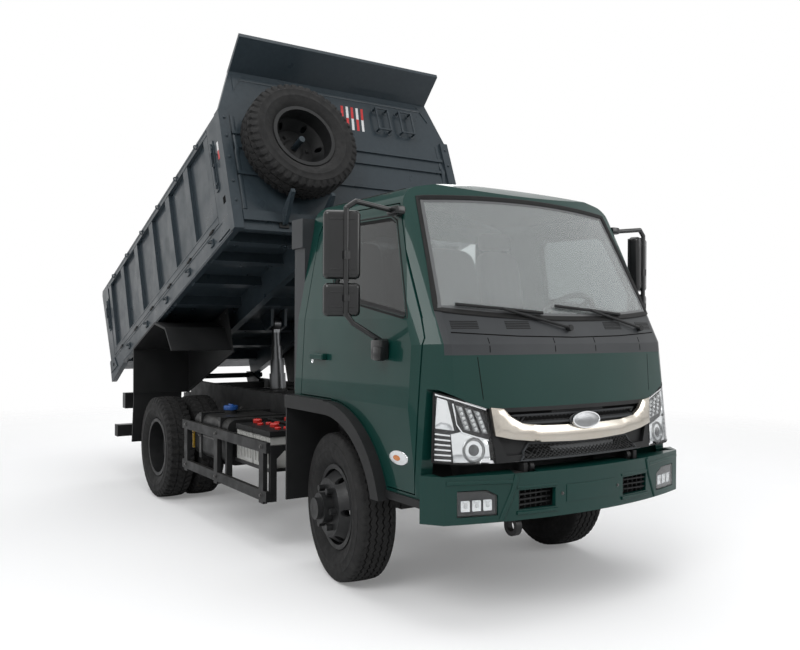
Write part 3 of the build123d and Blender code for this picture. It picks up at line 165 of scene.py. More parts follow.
def make_materials():
    made = {}

    def paint(name, color, roughness, **sockets):
        shader = Shader(name, color, roughness, **sockets)
        made[name] = shader.material
        return shader

    dust = (0.16, 0.15, 0.135)
    (paint("cab_paint", (0.002, 0.03, 0.024), 0.4, Specular_IOR_Level=0.12, Coat_Weight=0.38,
           Coat_Roughness=0.03)
     .vary(3.0, (0.004, 0.036, 0.03), 0.6).vary(900.0, (0.006, 0.042, 0.035), 0.2, 0.5, 0.8)
     .vary_roughness(5.0, 0.05).bump(420.0, 0.004, 0.0002))
    (paint("bed_paint", (0.027, 0.038, 0.046), 0.36, Specular_IOR_Level=0.2, Coat_Weight=0.18,
           Coat_Roughness=0.12)
     .vary(2.2, (0.034, 0.046, 0.055), 0.8).vary(34.0, (0.021, 0.03, 0.037), 0.5).vary_roughness(6.0, 0.1)
     .bump(160.0, 0.08, 0.0005))
    (paint("chassis_paint", (0.011, 0.0115, 0.012), 0.45, Specular_IOR_Level=0.2)
     .vary(9.0, (0.02, 0.02, 0.02), 0.7).vary_roughness(12.0, 0.12).bump(300.0, 0.12, 0.0006)
     .dust(dust, 0.12))
    (paint("axle_paint", (0.014, 0.0145, 0.015), 0.5, Specular_IOR_Level=0.2)
     .vary(14.0, (0.028, 0.026, 0.024), 0.6).vary_roughness(15.0, 0.1).bump(220.0, 0.2, 0.0008))
    (paint("rim_paint", (0.013, 0.0135, 0.014), 0.42, Specular_IOR_Level=0.25)
     .vary(16.0, (0.02, 0.0205, 0.021), 0.6).vary_roughness(20.0, 0.1).bump(400.0, 0.08, 0.0004))
    (paint("tyre_rubber", (0.0155, 0.0155, 0.0158), 0.78, Specular_IOR_Level=0.2)
     .vary(18.0, (0.027, 0.0265, 0.026), 0.7).vary(140.0, (0.012, 0.012, 0.012), 0.5)
     .vary_roughness(30.0, 0.1)
     .bump(700.0, 0.25, 0.0004))
    (paint("black_plastic", (0.012, 0.0125, 0.013), 0.5, Specular_IOR_Level=0.2)
     .vary(6.0, (0.019, 0.0195, 0.02), 0.6).bump(1300.0, 0.3, 0.0003))
    (paint("cowl_grey", (0.032, 0.035, 0.038), 0.42, Specular_IOR_Level=0.25)
     .vary(5.0, (0.042, 0.045, 0.048), 0.6).bump(1200.0, 0.15, 0.0003))
    (paint("mirror_plastic", (0.009, 0.0095, 0.01), 0.28, Specular_IOR_Level=0.3, Coat_Weight=0.3)
     .vary(6.0, (0.015, 0.0155, 0.016), 0.6).bump(900.0, 0.1, 0.0003))
    (paint("bar_metal", (0.5, 0.46, 0.4), 0.24, Metallic=0.9)
     .vary(8.0, (0.55, 0.52, 0.47), 0.5).bump(900.0, 0.04, 0.0003, (1, 0.05, 1)))
    paint("chrome", (0.78, 0.79, 0.8), 0.09, Metallic=1.0).vary(20.0, (0.7, 0.71, 0.73), 0.5)
    (paint("engine_cast", (0.075, 0.078, 0.08), 0.6, Metallic=0.4)
     .vary(12.0, (0.045, 0.045, 0.045), 0.8).bump(180.0, 0.4, 0.001))
    paint("battery_case", (0.5, 0.5, 0.48), 0.4).vary(9.0, (0.4, 0.4, 0.38), 0.7).bump(500.0, 0.1, 0.0004)
    paint("red_lens", (0.3, 0.008, 0.008), 0.12, Coat_Weight=0.6).vary(60.0, (0.2, 0.005, 0.005), 0.6)
    paint("amber_lens", (0.55, 0.16, 0.01), 0.14, Coat_Weight=0.6).vary(60.0, (0.4, 0.1, 0.008), 0.6)
    paint("white_lens", (0.7, 0.71, 0.72), 0.15, Coat_Weight=0.6).vary(70.0, (0.55, 0.56, 0.57), 0.6)
    (paint("spring_steel", (0.02, 0.02, 0.021), 0.55, Specular_IOR_Level=0.2)
     .vary(22.0, (0.05, 0.04, 0.034), 0.5).bump(200.0, 0.2))
    (paint("seat_cloth", (0.13, 0.13, 0.135), 0.9, Sheen_Weight=0.3)
     .vary(420.0, (0.09, 0.09, 0.095), 0.8, 0.4, 0.6).bump(520.0, 0.6, 0.001))
    (paint("exhaust_steel", (0.2, 0.185, 0.17), 0.45, Metallic=0.8)
     .vary(7.0, (0.11, 0.085, 0.07), 0.8).bump(150.0, 0.2))
    (paint("hoist_steel", (0.11, 0.113, 0.117), 0.3, Metallic=0.8)
     .vary(30.0, (0.07, 0.072, 0.075), 0.5, stretch=(1, 1, 0.1)).bump(500.0, 0.05))
    (paint("rubber", (0.008, 0.008, 0.0082), 0.62, Specular_IOR_Level=0.2)
     .vary(20.0, (0.014, 0.014, 0.014), 0.6).bump(600.0, 0.15, 0.0004))
    # Near-black for the dark joints of seams, and painted shade for openings, holes and the space behind
    # grille and bumper
    (paint("dark_joint_and_shade", (0.004, 0.004, 0.004), 0.8, Specular_IOR_Level=0.05)
     .vary(20.0, (0.006, 0.006, 0.006), 0.6))
    paint("mirror_glass", (0.72, 0.74, 0.75), 0.04, Metallic=1.0).vary(4.0, (0.68, 0.7, 0.72), 0.4)
    paint("red_plastic", (0.5, 0.02, 0.015), 0.35).vary(40.0, (0.38, 0.014, 0.01), 0.6)
    paint("blue_plastic", (0.02, 0.09, 0.32), 0.35).vary(40.0, (0.015, 0.07, 0.25), 0.6)
    paint("white_reflector", (0.72, 0.72, 0.72), 0.3).vary(220.0, (0.6, 0.6, 0.61), 0.8, 0.45, 0.55)
    paint("red_reflector", (0.55, 0.02, 0.02), 0.3).vary(220.0, (0.42, 0.014, 0.014), 0.8, 0.45, 0.55)
    paint("yellow_paint", (0.6, 0.36, 0.02), 0.4).vary(30.0, (0.5, 0.29, 0.015), 0.7)
    paint("bolt_steel", (0.12, 0.12, 0.12), 0.4, Metallic=0.8).vary(60.0, (0.07, 0.065, 0.06), 0.7)
    paint("lamp_dark", (0.03, 0.031, 0.033), 0.35, Metallic=0.4).vary(30.0, (0.05, 0.051, 0.053), 0.6)
    paint("lamp_grey", (0.3, 0.305, 0.31), 0.3, Metallic=0.7).vary(30.0, (0.24, 0.245, 0.25), 0.6)
    paint("dark_lens", (0.05, 0.055, 0.06), 0.06, Coat_Weight=1.0).vary(40.0, (0.08, 0.085, 0.09), 0.6)
    paint("screen_border", (0.1, 0.104, 0.107), 0.3).vary(30.0, (0.085, 0.088, 0.09), 0.6)
    # The windscreen lets 0.84 of the light through and shows the rest as a pale diffuse layer of its tint:
    # painted reflection. The door glass is a dark tint.
    for name, tint, share in (("glass", (0.8, 0.84, 0.84), 0.84), ("door_glass", (0.13, 0.15, 0.15), 0.97)):
        shader = paint(name, tint, 0.02, Transmission_Weight=share, IOR=1.45)
        shader.vary(2.0, tuple(c * 0.95 for c in tint), 0.5)
    (paint("lens_clear", (0.97, 0.98, 0.98), 0.02, Transmission_Weight=1.0, IOR=1.3)
     .vary(3.0, (0.95, 0.96, 0.96), 0.5))
    return made


MAT = make_materials()

NODE_MATERIALS = {
    "chassis_paint": ["chassis_frame", "tipper_subframe", "rear_bumper", "cab_floor", "hoist_barrel",
                      "fuel_tank", "side_guards"],
    "cab_paint": ["front_bumper", "cab_frame", "cab_roof", "cab_rear_wall", "cab_front_panel", "door_left",
                  "door_right"],
    "axle_paint": ["front_axle", "rear_axle", "knuckle_left", "knuckle_right", "tie_rod"],
    "spring_steel": ["leaf_springs"],
    "engine_cast": ["engine"],
    "battery_case": ["batteries"],
    "exhaust_steel": ["exhaust"],
    "cowl_grey": ["cowl_panel", "intake_snorkel"],
    "black_plastic": ["grille", "wheel_arches", "dashboard", "wipers", "steering_wheel", "rear_fenders"],
    "bar_metal": ["grille_bar"],
    "glass": ["cab_glass"],
    "door_glass": ["door_glass_left", "door_glass_right"],
    "chrome": ["headlamps"],
    "lamp_dark": ["fog_lamps", "tail_lamps"],
    "mirror_plastic": ["mirror_left", "mirror_right"],
    "seat_cloth": ["seats"],
    "rim_paint": ["front_rim_left", "front_rim_right", "rear_rims_left", "rear_rims_right", "spare_rim"],
    "tyre_rubber": ["front_tyre_left", "front_tyre_right", "rear_tyres_left", "rear_tyres_right",
                    "spare_tyre"],
    "bed_paint": ["bed_floor", "headboard", "side_gate_left", "side_gate_right", "tailgate"],
    "hoist_steel": ["hoist_stage_1", "hoist_stage_2", "hoist_stage_3", "hoist_stage_4"],
}
SMOOTH_ANGLE = radians(28)


def shade_by_angle(obj, angle=SMOOTH_ANGLE):
    """Smooth faces with sharp edges where two faces meet at more than the angle."""
    mesh = obj.data
    bm = bmesh.new()
    bm.from_mesh(mesh)
    for edge in bm.edges:
        edge.smooth = len(edge.link_faces) == 2 and edge.calc_face_angle(0) < angle
    for face in bm.faces:
        face.smooth = True
    bm.to_mesh(mesh)
    bm.free()


def dress_nodes():
    for material, names in NODE_MATERIALS.items():
        for name in names:
            node = NODES[name]
            node.data.materials.clear()
            node.data.materials.append(MAT[material])


dress_nodes()


# Mesh helpers

def new_object(name, verts, faces, material, body, smooth=SMOOTH_ANGLE):
    mesh = bpy.data.meshes.new(name)
    mesh.from_pydata([tuple(v) for v in verts], [], faces)
    mesh.update()
    bm = bmesh.new()
    bm.from_mesh(mesh)
    bmesh.ops.recalc_face_normals(bm, faces=bm.faces)
    bm.to_mesh(mesh)
    bm.free()
    obj = bpy.data.objects.new(name, mesh)
    bpy.context.scene.collection.objects.link(obj)
    mesh.materials.append(MAT[material])
    shade_by_angle(obj, smooth)
    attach(obj, body)
    return obj


# Tyres

TREAD_HALF = 0.086
SIDE_PROFILE = [
    (0.072, 0.2125), (0.0735, 0.232), (0.086, 0.246), (0.0965, 0.264), (0.1035, 0.284), (0.1058, 0.2965),
                (0.1070, 0.2985),
    (0.1070, 0.3055), (0.1058, 0.3075), (0.1068, 0.328), (0.1058, 0.343), (0.1062, 0.345), (0.1062, 0.350),
                (0.1040, 0.352),
    (0.1015, 0.366), (0.0975, 0.379), (0.0925, 0.390),
]
GROOVE_W = 0.0095
SHOULDER, SHOULDER_IN = 0.013, 0.0145
GROOVE_DEPTH = 0.011
RIB_GROOVES = (-0.054, -0.018, 0.018, 0.054)


def tread_radius(y):
    return TYRE_R - 0.0045 * (y / TREAD_HALF) ** 2


def tyre_rings(pattern):
    """Points across one tyre, each a width, a radius and what the tread does there."""
    points = [(-y, r, "side") for y, r in SIDE_PROFILE]
    if pattern == "rib":
        points.append((-TREAD_HALF, tread_radius(TREAD_HALF), "edge"))
        points.append((-TREAD_HALF + SHOULDER, tread_radius(TREAD_HALF - SHOULDER), "edge"))
        points.append((-TREAD_HALF + SHOULDER_IN, tread_radius(TREAD_HALF - SHOULDER_IN), "top"))
        for middle in RIB_GROOVES:
            a, b = middle - GROOVE_W / 2, middle + GROOVE_W / 2
            points.append((a, tread_radius(a), "zig"))
            points.append((a + 0.0016, tread_radius(a) - GROOVE_DEPTH, "zig"))
            points.append((b - 0.0016, tread_radius(b) - GROOVE_DEPTH, "zig"))
            points.append((b, tread_radius(b), "zig"))
        points.append((TREAD_HALF - SHOULDER_IN, tread_radius(TREAD_HALF - SHOULDER_IN), "top"))
        points.append((TREAD_HALF - SHOULDER, tread_radius(TREAD_HALF - SHOULDER), "edge"))
        points.append((TREAD_HALF, tread_radius(TREAD_HALF), "edge"))
    else:
        count = 15
        grooves = (-0.034, 0.034)
        cuts = [-TREAD_HALF + 2 * TREAD_HALF * i / count for i in range(count + 1)]
        for y in cuts:
            if any(abs(y - g) < 0.0062 for g in grooves):
                continue
            points.append((y, tread_radius(y), "lug"))
        for middle in grooves:
            a, b = middle - 0.005, middle + 0.005
            points.append((a, tread_radius(a), "lug"))
            points.append((a + 0.0015, tread_radius(a) - GROOVE_DEPTH, "zig"))
            points.append((b - 0.0015, tread_radius(b) - GROOVE_DEPTH, "zig"))
            points.append((b, tread_radius(b), "lug"))
        body = sorted(points[len(SIDE_PROFILE):])
        points = points[:len(SIDE_PROFILE)] + body
    points += [(y, r, "side") for y, r in reversed(SIDE_PROFILE)]
    return points


LUG_PITCHES = 44
RIB_PITCHES = 60


def tyre_mesh(pattern):
    """Vertices and faces of one tyre about the Y axis."""
    rings = tyre_rings(pattern)
    per_pitch = 8 if pattern == "lug" else 4
    pitches = LUG_PITCHES if pattern == "lug" else RIB_PITCHES
    around = per_pitch * pitches
    wave = (0.0, 1.0, 0.0, -1.0)
    verts = []
    for k in range(around):
        angle = 2 * pi * k / around
        c, s = cos(angle), sin(angle)
        for y, r, kind in rings:
            width, radius = y, r
            if pattern == "rib":
                if kind == "zig":
                    width += 0.0055 * wave[k % 4]
                elif kind == "edge" and k % 4 == 2:
                    radius -= 0.006
            else:
                shift = 3 if y > 0 else 0
                phase = (k + shift + round(abs(y) * 60)) % per_pitch
                reach = abs(y)
                if kind == "lug" and reach > 0.040 and phase < 3:
                    radius -= 0.0135 if phase == 1 else 0.0115
                elif kind == "lug" and reach <= 0.028 and (k + round(y * 90)) % per_pitch == 4:
                    radius -= 0.009
                elif kind == "zig":
                    width += 0.004 * (1 if (k // 4) % 2 else -1)
                elif kind == "side" and r > 0.362 and phase < 3:
                    width -= 0.0065 * (1 if y > 0 else -1)
                    radius -= 0.004
            verts.append((radius * c, width, radius * s))
    faces = []
    n = len(rings)
    for k in range(around):
        base, following = k * n, ((k + 1) % around) * n
        for i in range(n):
            j = (i + 1) % n
            faces.append((base + i, base + j, following + j, following + i))
    return verts, faces


TYRE_MESHES = {pattern: tyre_mesh(pattern) for pattern in ("rib", "lug")}


def place_tyres(name, pattern, placements, body, node):
    verts, faces = [], []
    base_verts, base_faces = TYRE_MESHES[pattern]
    for matrix in placements:
        start = len(verts)
        verts += [matrix @ Vector(v) for v in base_verts]
        faces += [tuple(i + start for i in face) for face in base_faces]
    obj = new_object(name, verts, faces, "tyre_rubber", body, radians(35))
    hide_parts(node)


def centre_of(node):
    low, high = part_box(node)
    return (low + high) / 2


def build_tyres():
    for side, tag in SIDES:
        turn = Matrix.Rotation(STEER + (0 if side > 0 else pi), 4, "Z")
        place = Matrix.Translation(centre_of(f"front_tyre_{tag}")) @ turn
        place_tyres(f"tyre_front_{tag}", "rib", [place], f"wheel_front_{tag}", f"front_tyre_{tag}")
        middle = centre_of(f"rear_tyres_{tag}")
        turn = Matrix.Rotation(0 if side > 0 else pi, 4, "Z")
        pair = [Matrix.Translation(middle + Vector((0, dy, 0))) @ turn for dy in (-0.124, 0.124)]
        place_tyres(f"tyre_rear_{tag}", "lug", pair, f"wheel_rear_{tag}", f"rear_tyres_{tag}")
    tilt = Matrix.Rotation(-BED_ANGLE, 4, "Y") @ Matrix.Rotation(-pi / 2, 4, "Z")
    place = Matrix.Translation(centre_of("spare_tyre")) @ tilt
    place_tyres("tyre_spare", "lug", [place], "bed", "spare_tyre")


build_tyres()


# Trim that follows a surface

class Surface:
    """Where a straight line of sight first meets the given parts; u and v are read on the facing plane."""

    VIEWS = {
        "front": (lambda u, v: Vector((4.5, u, v)), Vector((-1, 0, 0))),
        "back": (lambda u, v: Vector((-4.5, u, v)), AHEAD),
        "right": (lambda u, v: at(u, -3, v), ACROSS),
        "left": (lambda u, v: at(u, 3, v), Vector((0, -1, 0))),
        "top": (lambda u, v: at(u, v, 5), Vector((0, 0, -1))),
        "headboard": (lambda u, v: on_bed(4.5, u, v), -BED_ALONG),
        "bed_right": (lambda u, v: on_bed(u, -3, v), ACROSS),
        "bed_left": (lambda u, v: on_bed(u, 3, v), Vector((0, -1, 0))),
        "tail": (lambda u, v: on_bed(-3, u, v), BED_ALONG),
    }

    def __init__(self, view, *names):
        verts, polys = [], []
        for name in names:
            mesh = NODES[name].data
            start = len(verts)
            verts += [v.co.copy() for v in mesh.vertices]
            polys += [tuple(start + i for i in p.vertices) for p in mesh.polygons]
        self.tree = BVHTree.FromPolygons(verts, polys)
        self.origin, self.sight = self.VIEWS[view]

    def hit(self, u, v):
        start = self.origin(u, v)
        point, normal, _, _ = self.tree.ray_cast(start, self.sight)
        if point is None:
            point, normal, _, _ = self.tree.find_nearest(start + self.sight * 3)
        if normal.dot(self.sight) > 0:
            normal = -normal
        return point, normal


class Nose:
    """The smooth bowed front of the cab below its bend, without the steps of the parts that stand on it."""

    FRONT_X, FOOT_Z, RAKE = 3.738, 0.75, 0.115
    SAG, EDGE_Y = 0.084, 0.715

    def hit(self, u, v):
        x = self.FRONT_X - self.RAKE * (v - self.FOOT_Z) - self.SAG * (u / self.EDGE_Y) ** 2
        normal = Vector((1, 2 * self.SAG * u / self.EDGE_Y ** 2, self.RAKE)).normalized()
        return at(x, u, v), normal


def densify(path, spacing, closed):
    """The path with points added so that none lie further apart than the spacing."""
    ends = list(zip(path, path[1:] + path[:1])) if closed else list(zip(path, path[1:]))
    out = []
    for (u0, v0), (u1, v1) in ends:
        steps = max(1, ceil(hypot(u1 - u0, v1 - v0) / spacing))
        out += [(u0 + (u1 - u0) * i / steps, v0 + (v1 - v0) * i / steps) for i in range(steps)]
    if not closed:
        out.append(path[-1])
    return out


STRIP_SECTION = ((-1.0, -0.3), (-1.0, 0.55), (-0.65, 1.0), (0.65, 1.0), (1.0, 0.55), (1.0, -0.3))


def strip_mesh(surface, path, width, lift, thick, closed=False, spacing=0.025):
    """A moulded strip of rounded section along a path on a surface."""
    path = densify(path, spacing, closed)
    n, m = len(path), len(STRIP_SECTION)
    verts, faces = [], []
    for i, (u, v) in enumerate(path):
        before = path[i - 1] if closed or i else path[i]
        after = path[(i + 1) % n] if closed or i < n - 1 else path[i]
        du, dv = after[0] - before[0], after[1] - before[1]
        size = hypot(du, dv) or 1.0
        half = width(i / max(1, n - 1)) / 2 if callable(width) else width / 2
        for across, height in STRIP_SECTION:
            point, normal = surface.hit(u - across * dv / size * half, v + across * du / size * half)
            verts.append(point + normal * (lift + thick * height))
    for i in range(n if closed else n - 1):
        j = (i + 1) % n
        for k in range(m):
            h = (k + 1) % m
            faces.append((i * m + k, i * m + h, j * m + h, j * m + k))
    if not closed:
        faces.append(tuple(range(m)))
        faces.append(tuple((n - 1) * m + k for k in reversed(range(m))))
    return verts, faces


def strip(name, surface, path, width, lift, thick, material, body, closed=False, spacing=0.025):
    verts, faces = strip_mesh(surface, path, width, lift, thick, closed, spacing)
    return new_object(name, verts, faces, material, body)


def inside(point, outline):
    x, y = point
    found = False
    for (x0, y0), (x1, y1) in zip(outline, outline[1:] + outline[:1]):
        if (y0 > y) != (y1 > y) and x < (x1 - x0) * (y - y0) / (y1 - y0) + x0:
            found = not found
    return found


def patch_mesh(surface, outline, low, high, grid=0.03, crown=0.0):
    """A plate with the given outline that follows a surface, from one height above it to another."""
    edge = densify(outline, grid, True)
    us, vs = [p[0] for p in edge], [p[1] for p in edge]
    points = [Vector(p) for p in edge]
    rim = [(i, (i + 1) % len(edge)) for i in range(len(edge))]
    steps_u = int((max(us) - min(us)) / grid)
    steps_v = int((max(vs) - min(vs)) / grid)
    for i in range(1, steps_u + 1):
        for j in range(1, steps_v + 1):
            p = (min(us) + i * grid, min(vs) + j * grid)
            far = min(hypot(p[0] - q[0], p[1] - q[1]) for q in edge)
            if far > grid * 0.55 and inside(p, edge):
                points.append(Vector(p))
    flat, _, tris, _, _, _ = delaunay_2d_cdt(points, rim, [], 1, 1e-6)
    tris = [t for t in tris if inside(tuple(sum((flat[i] for i in t), Vector((0, 0))) / len(t)), edge)]
    hits = [surface.hit(p[0], p[1]) for p in flat]
    n = len(flat)
    top = []
    for p, (point, normal) in zip(flat, hits):
        far = min(hypot(p[0] - q[0], p[1] - q[1]) for q in edge)
        top.append(point + normal * (high + crown * (1 - (1 - min(1.0, far / 0.02)) ** 2)))
    base = [point + normal * low for point, normal in hits]
    faces = [tuple(t) for t in tris] + [tuple(i + n for i in reversed(t)) for t in tris]
    used = {}
    for t in tris:
        for a, b in zip(t, t[1:] + t[:1]):
            used[(a, b)] = used.get((a, b), 0) + 1
    for a, b in used:
        if (b, a) not in used:
            faces.append((b, a, a + n, b + n))
    return top + base, faces


def patch(name, surface, outline, low, high, material, body, grid=0.03, crown=0.0):
    verts, faces = patch_mesh(surface, outline, low, high, grid, crown)
    return new_object(name, verts, faces, material, body)


class Group:
    """Several small solids gathered in one piece."""

    def __init__(self):
        self.verts, self.faces = [], []

    def add(self, verts, faces):
        start = len(self.verts)
        self.verts += [Vector(v) for v in verts]
        self.faces += [tuple(i + start for i in f) for f in faces]
        return self

    def block(self, centre, axes, size, chamfer=0.003):
        """A box with chamfered edges, on three axes."""
        bm = bmesh.new()
        bmesh.ops.create_cube(bm, size=1.0)
        half = [s / 2 for s in size]
        for v in bm.verts:
            v.co = Vector([2 * c * h for c, h in zip(v.co, half)])
        bmesh.ops.bevel(bm, geom=bm.edges[:], offset=min(chamfer, min(half) * 0.6), segments=2, profile=0.6,
                        affect="EDGES")
        a, b, c = (Vector(x).normalized() for x in axes)
        bm.verts.index_update()
        verts = [Vector(centre) + a * v.co.x + b * v.co.y + c * v.co.z for v in bm.verts]
        faces = [tuple(v.index for v in f.verts) for f in bm.faces]
        bm.free()
        return self.add(verts, faces)

    def turned(self, centre, axis, profile, count=24):
        """A solid of revolution: the profile lists radius and height along the axis."""
        axis = Vector(axis).normalized()
        a = axis.orthogonal().normalized()
        b = axis.cross(a)
        verts, faces = [], []
        n = len(profile)
        for k in range(count):
            angle = 2 * pi * k / count
            out = a * cos(angle) + b * sin(angle)
            verts += [Vector(centre) + out * r + axis * h for r, h in profile]
        for k in range(count):
            j = (k + 1) % count
            for i in range(n - 1):
                faces.append((k * n + i, k * n + i + 1, j * n + i + 1, j * n + i))
        faces.append(tuple(k * n for k in reversed(range(count))))
        faces.append(tuple(k * n + n - 1 for k in range(count)))
        return self.add(verts, faces)

    def bolt(self, place, normal, radius):
        """Hexagon head on a washer."""
        self.turned(place, normal, [(radius * 1.35, -0.001), (radius * 1.35, radius * 0.18),
                                    (radius * 1.25, radius * 0.25)], 16)
        return self.turned(place, normal, [(radius, 0.0), (radius, radius * 0.85), (radius * 0.8, radius)], 6)

    def tube(self, points, radius, count=10):
        """A round bar along a line of points, turned smoothly at the corners."""
        line = [Vector(p) for p in points]
        smooth = [line[0]]
        for before, corner, after in zip(line, line[1:], line[2:]):
            reach = min(4 * radius, (corner - before).length / 2, (after - corner).length / 2)
            start = corner + (before - corner).normalized() * reach
            end = corner + (after - corner).normalized() * reach
            for i in range(7):
                t = i / 6
                smooth.append(start * (1 - t) ** 2 + corner * 2 * t * (1 - t) + end * t ** 2)
        smooth.append(line[-1])
        verts, faces = [], []
        side = (smooth[1] - smooth[0]).orthogonal().normalized()
        for i, p in enumerate(smooth):
            ahead = (smooth[min(i + 1, len(smooth) - 1)] - smooth[max(i - 1, 0)]).normalized()
            side = (side - ahead * side.dot(ahead)).normalized()
            other = ahead.cross(side)
            turns = [2 * pi * k / count for k in range(count)]
            verts += [p + (side * cos(turn) + other * sin(turn)) * radius for turn in turns]
        for i in range(len(smooth) - 1):
            for k in range(count):
                j = (k + 1) % count
                faces.append((i * count + k, i * count + j, (i + 1) * count + j, (i + 1) * count + k))
        faces.append(tuple(range(count)))
        faces.append(tuple((len(smooth) - 1) * count + k for k in reversed(range(count))))
        return self.add(verts, faces)

    def strip(self, *args, **kwargs):
        return self.add(*strip_mesh(*args, **kwargs))

    def patch(self, *args, **kwargs):
        return self.add(*patch_mesh(*args, **kwargs))

    def done(self, name, material, body, slot=None, smooth=SMOOTH_ANGLE):
        return new_object(name, self.verts, self.faces, material, body, smooth)


AXES = (AHEAD, ACROSS, UP)
BED_AXES = (BED_ALONG, ACROSS, BED_UP)


def arc_points(points, count):
    """Points on the parabola through the first, middle and last of three points."""
    (u0, v0), (u1, v1), (u2, v2) = points
    out = []
    for i in range(count + 1):
        t = i / count
        a, b, c = (1 - t) * (1 - 2 * t), 4 * t * (1 - t), t * (2 * t - 1)
        out.append((u0 * a + u1 * b + u2 * c, v0 * a + v1 * b + v2 * c))
    return out


def mirrored(path):
    return [(-u, v) for u, v in path]


def rect(u0, v0, u1, v1):
    return [(u0, v0), (u1, v0), (u1, v1), (u0, v1)]


# Cab front

SCREEN_LOW = arc_points([(0.734, 1.462), (0, 1.424), (-0.734, 1.462)], 24)
SCREEN_TOP = arc_points([(-0.656, 2.026), (0, 2.052), (0.656, 2.026)], 24)
SCREEN_LOOP = SCREEN_LOW + SCREEN_TOP
LAMP_BARS = ((0.36, 0.5), (0.54, 0.68), (0.72, 0.84))
LAMP_CORNERS = ((0.812, 0.760), (0.792, 1.084), (0.557, 1.006), (0.522, 0.742))


def in_lamp(side, a, b):
    """A point of the headlamp, from its outer edge to its inner one and from its foot to its top."""
    (y0, z0), (y1, z1), (y2, z2), (y3, z3) = LAMP_CORNERS
    y = (y0 * (1 - a) + y3 * a) * (1 - b) + (y1 * (1 - a) + y2 * a) * b
    z = (z0 * (1 - a) + z3 * a) * (1 - b) + (z1 * (1 - a) + z2 * a) * b
    return side * y, z


def lamp_path(side, points):
    path = [in_lamp(side, a, b) for a, b in points]
    return path if side > 0 else path[::-1]


def build_screen():
    skin = Surface("front", "cab_glass", "cab_roof", "cab_frame", "cowl_panel")
    strip("screen_gasket", skin, SCREEN_LOOP, 0.024, 0.0005, 0.006, "rubber", "cab", True,
          0.04)
    inner = [(u * 0.969, 1.742 + (v - 1.742) * 0.948) for u, v in SCREEN_LOOP]
    strip("screen_border", skin, inner, 0.018, 0.0002, 0.0012, "screen_border", "cab", True,
          0.04)
    cowl = Surface("front", "cowl_panel")
    seams = Group()
    seams.strip(cowl, [(-0.70, 1.355), (-0.35, 1.338), (0, 1.332), (0.35, 1.338), (0.70, 1.355)], 0.005,
                0.0, 0.0012)
    for y in (-0.52, -0.14, 0.14, 0.52):
        seams.strip(cowl, [(y, 1.262), (y, 1.33)], 0.004, 0.0, 0.0012)
    seams.done("cowl_seams", "dark_joint_and_shade", "cab")
    slots = Group()
    for y in (-0.62, -0.33, 0.33, 0.62):
        for k in range(5):
            slots.strip(cowl, [(y - 0.07, 1.375 + k * 0.008), (y + 0.07, 1.375 + k * 0.008)], 0.0045, 0.0,
                        0.002)
    slots.done("cowl_louvres", "black_plastic", "cab", "cowl_grey")


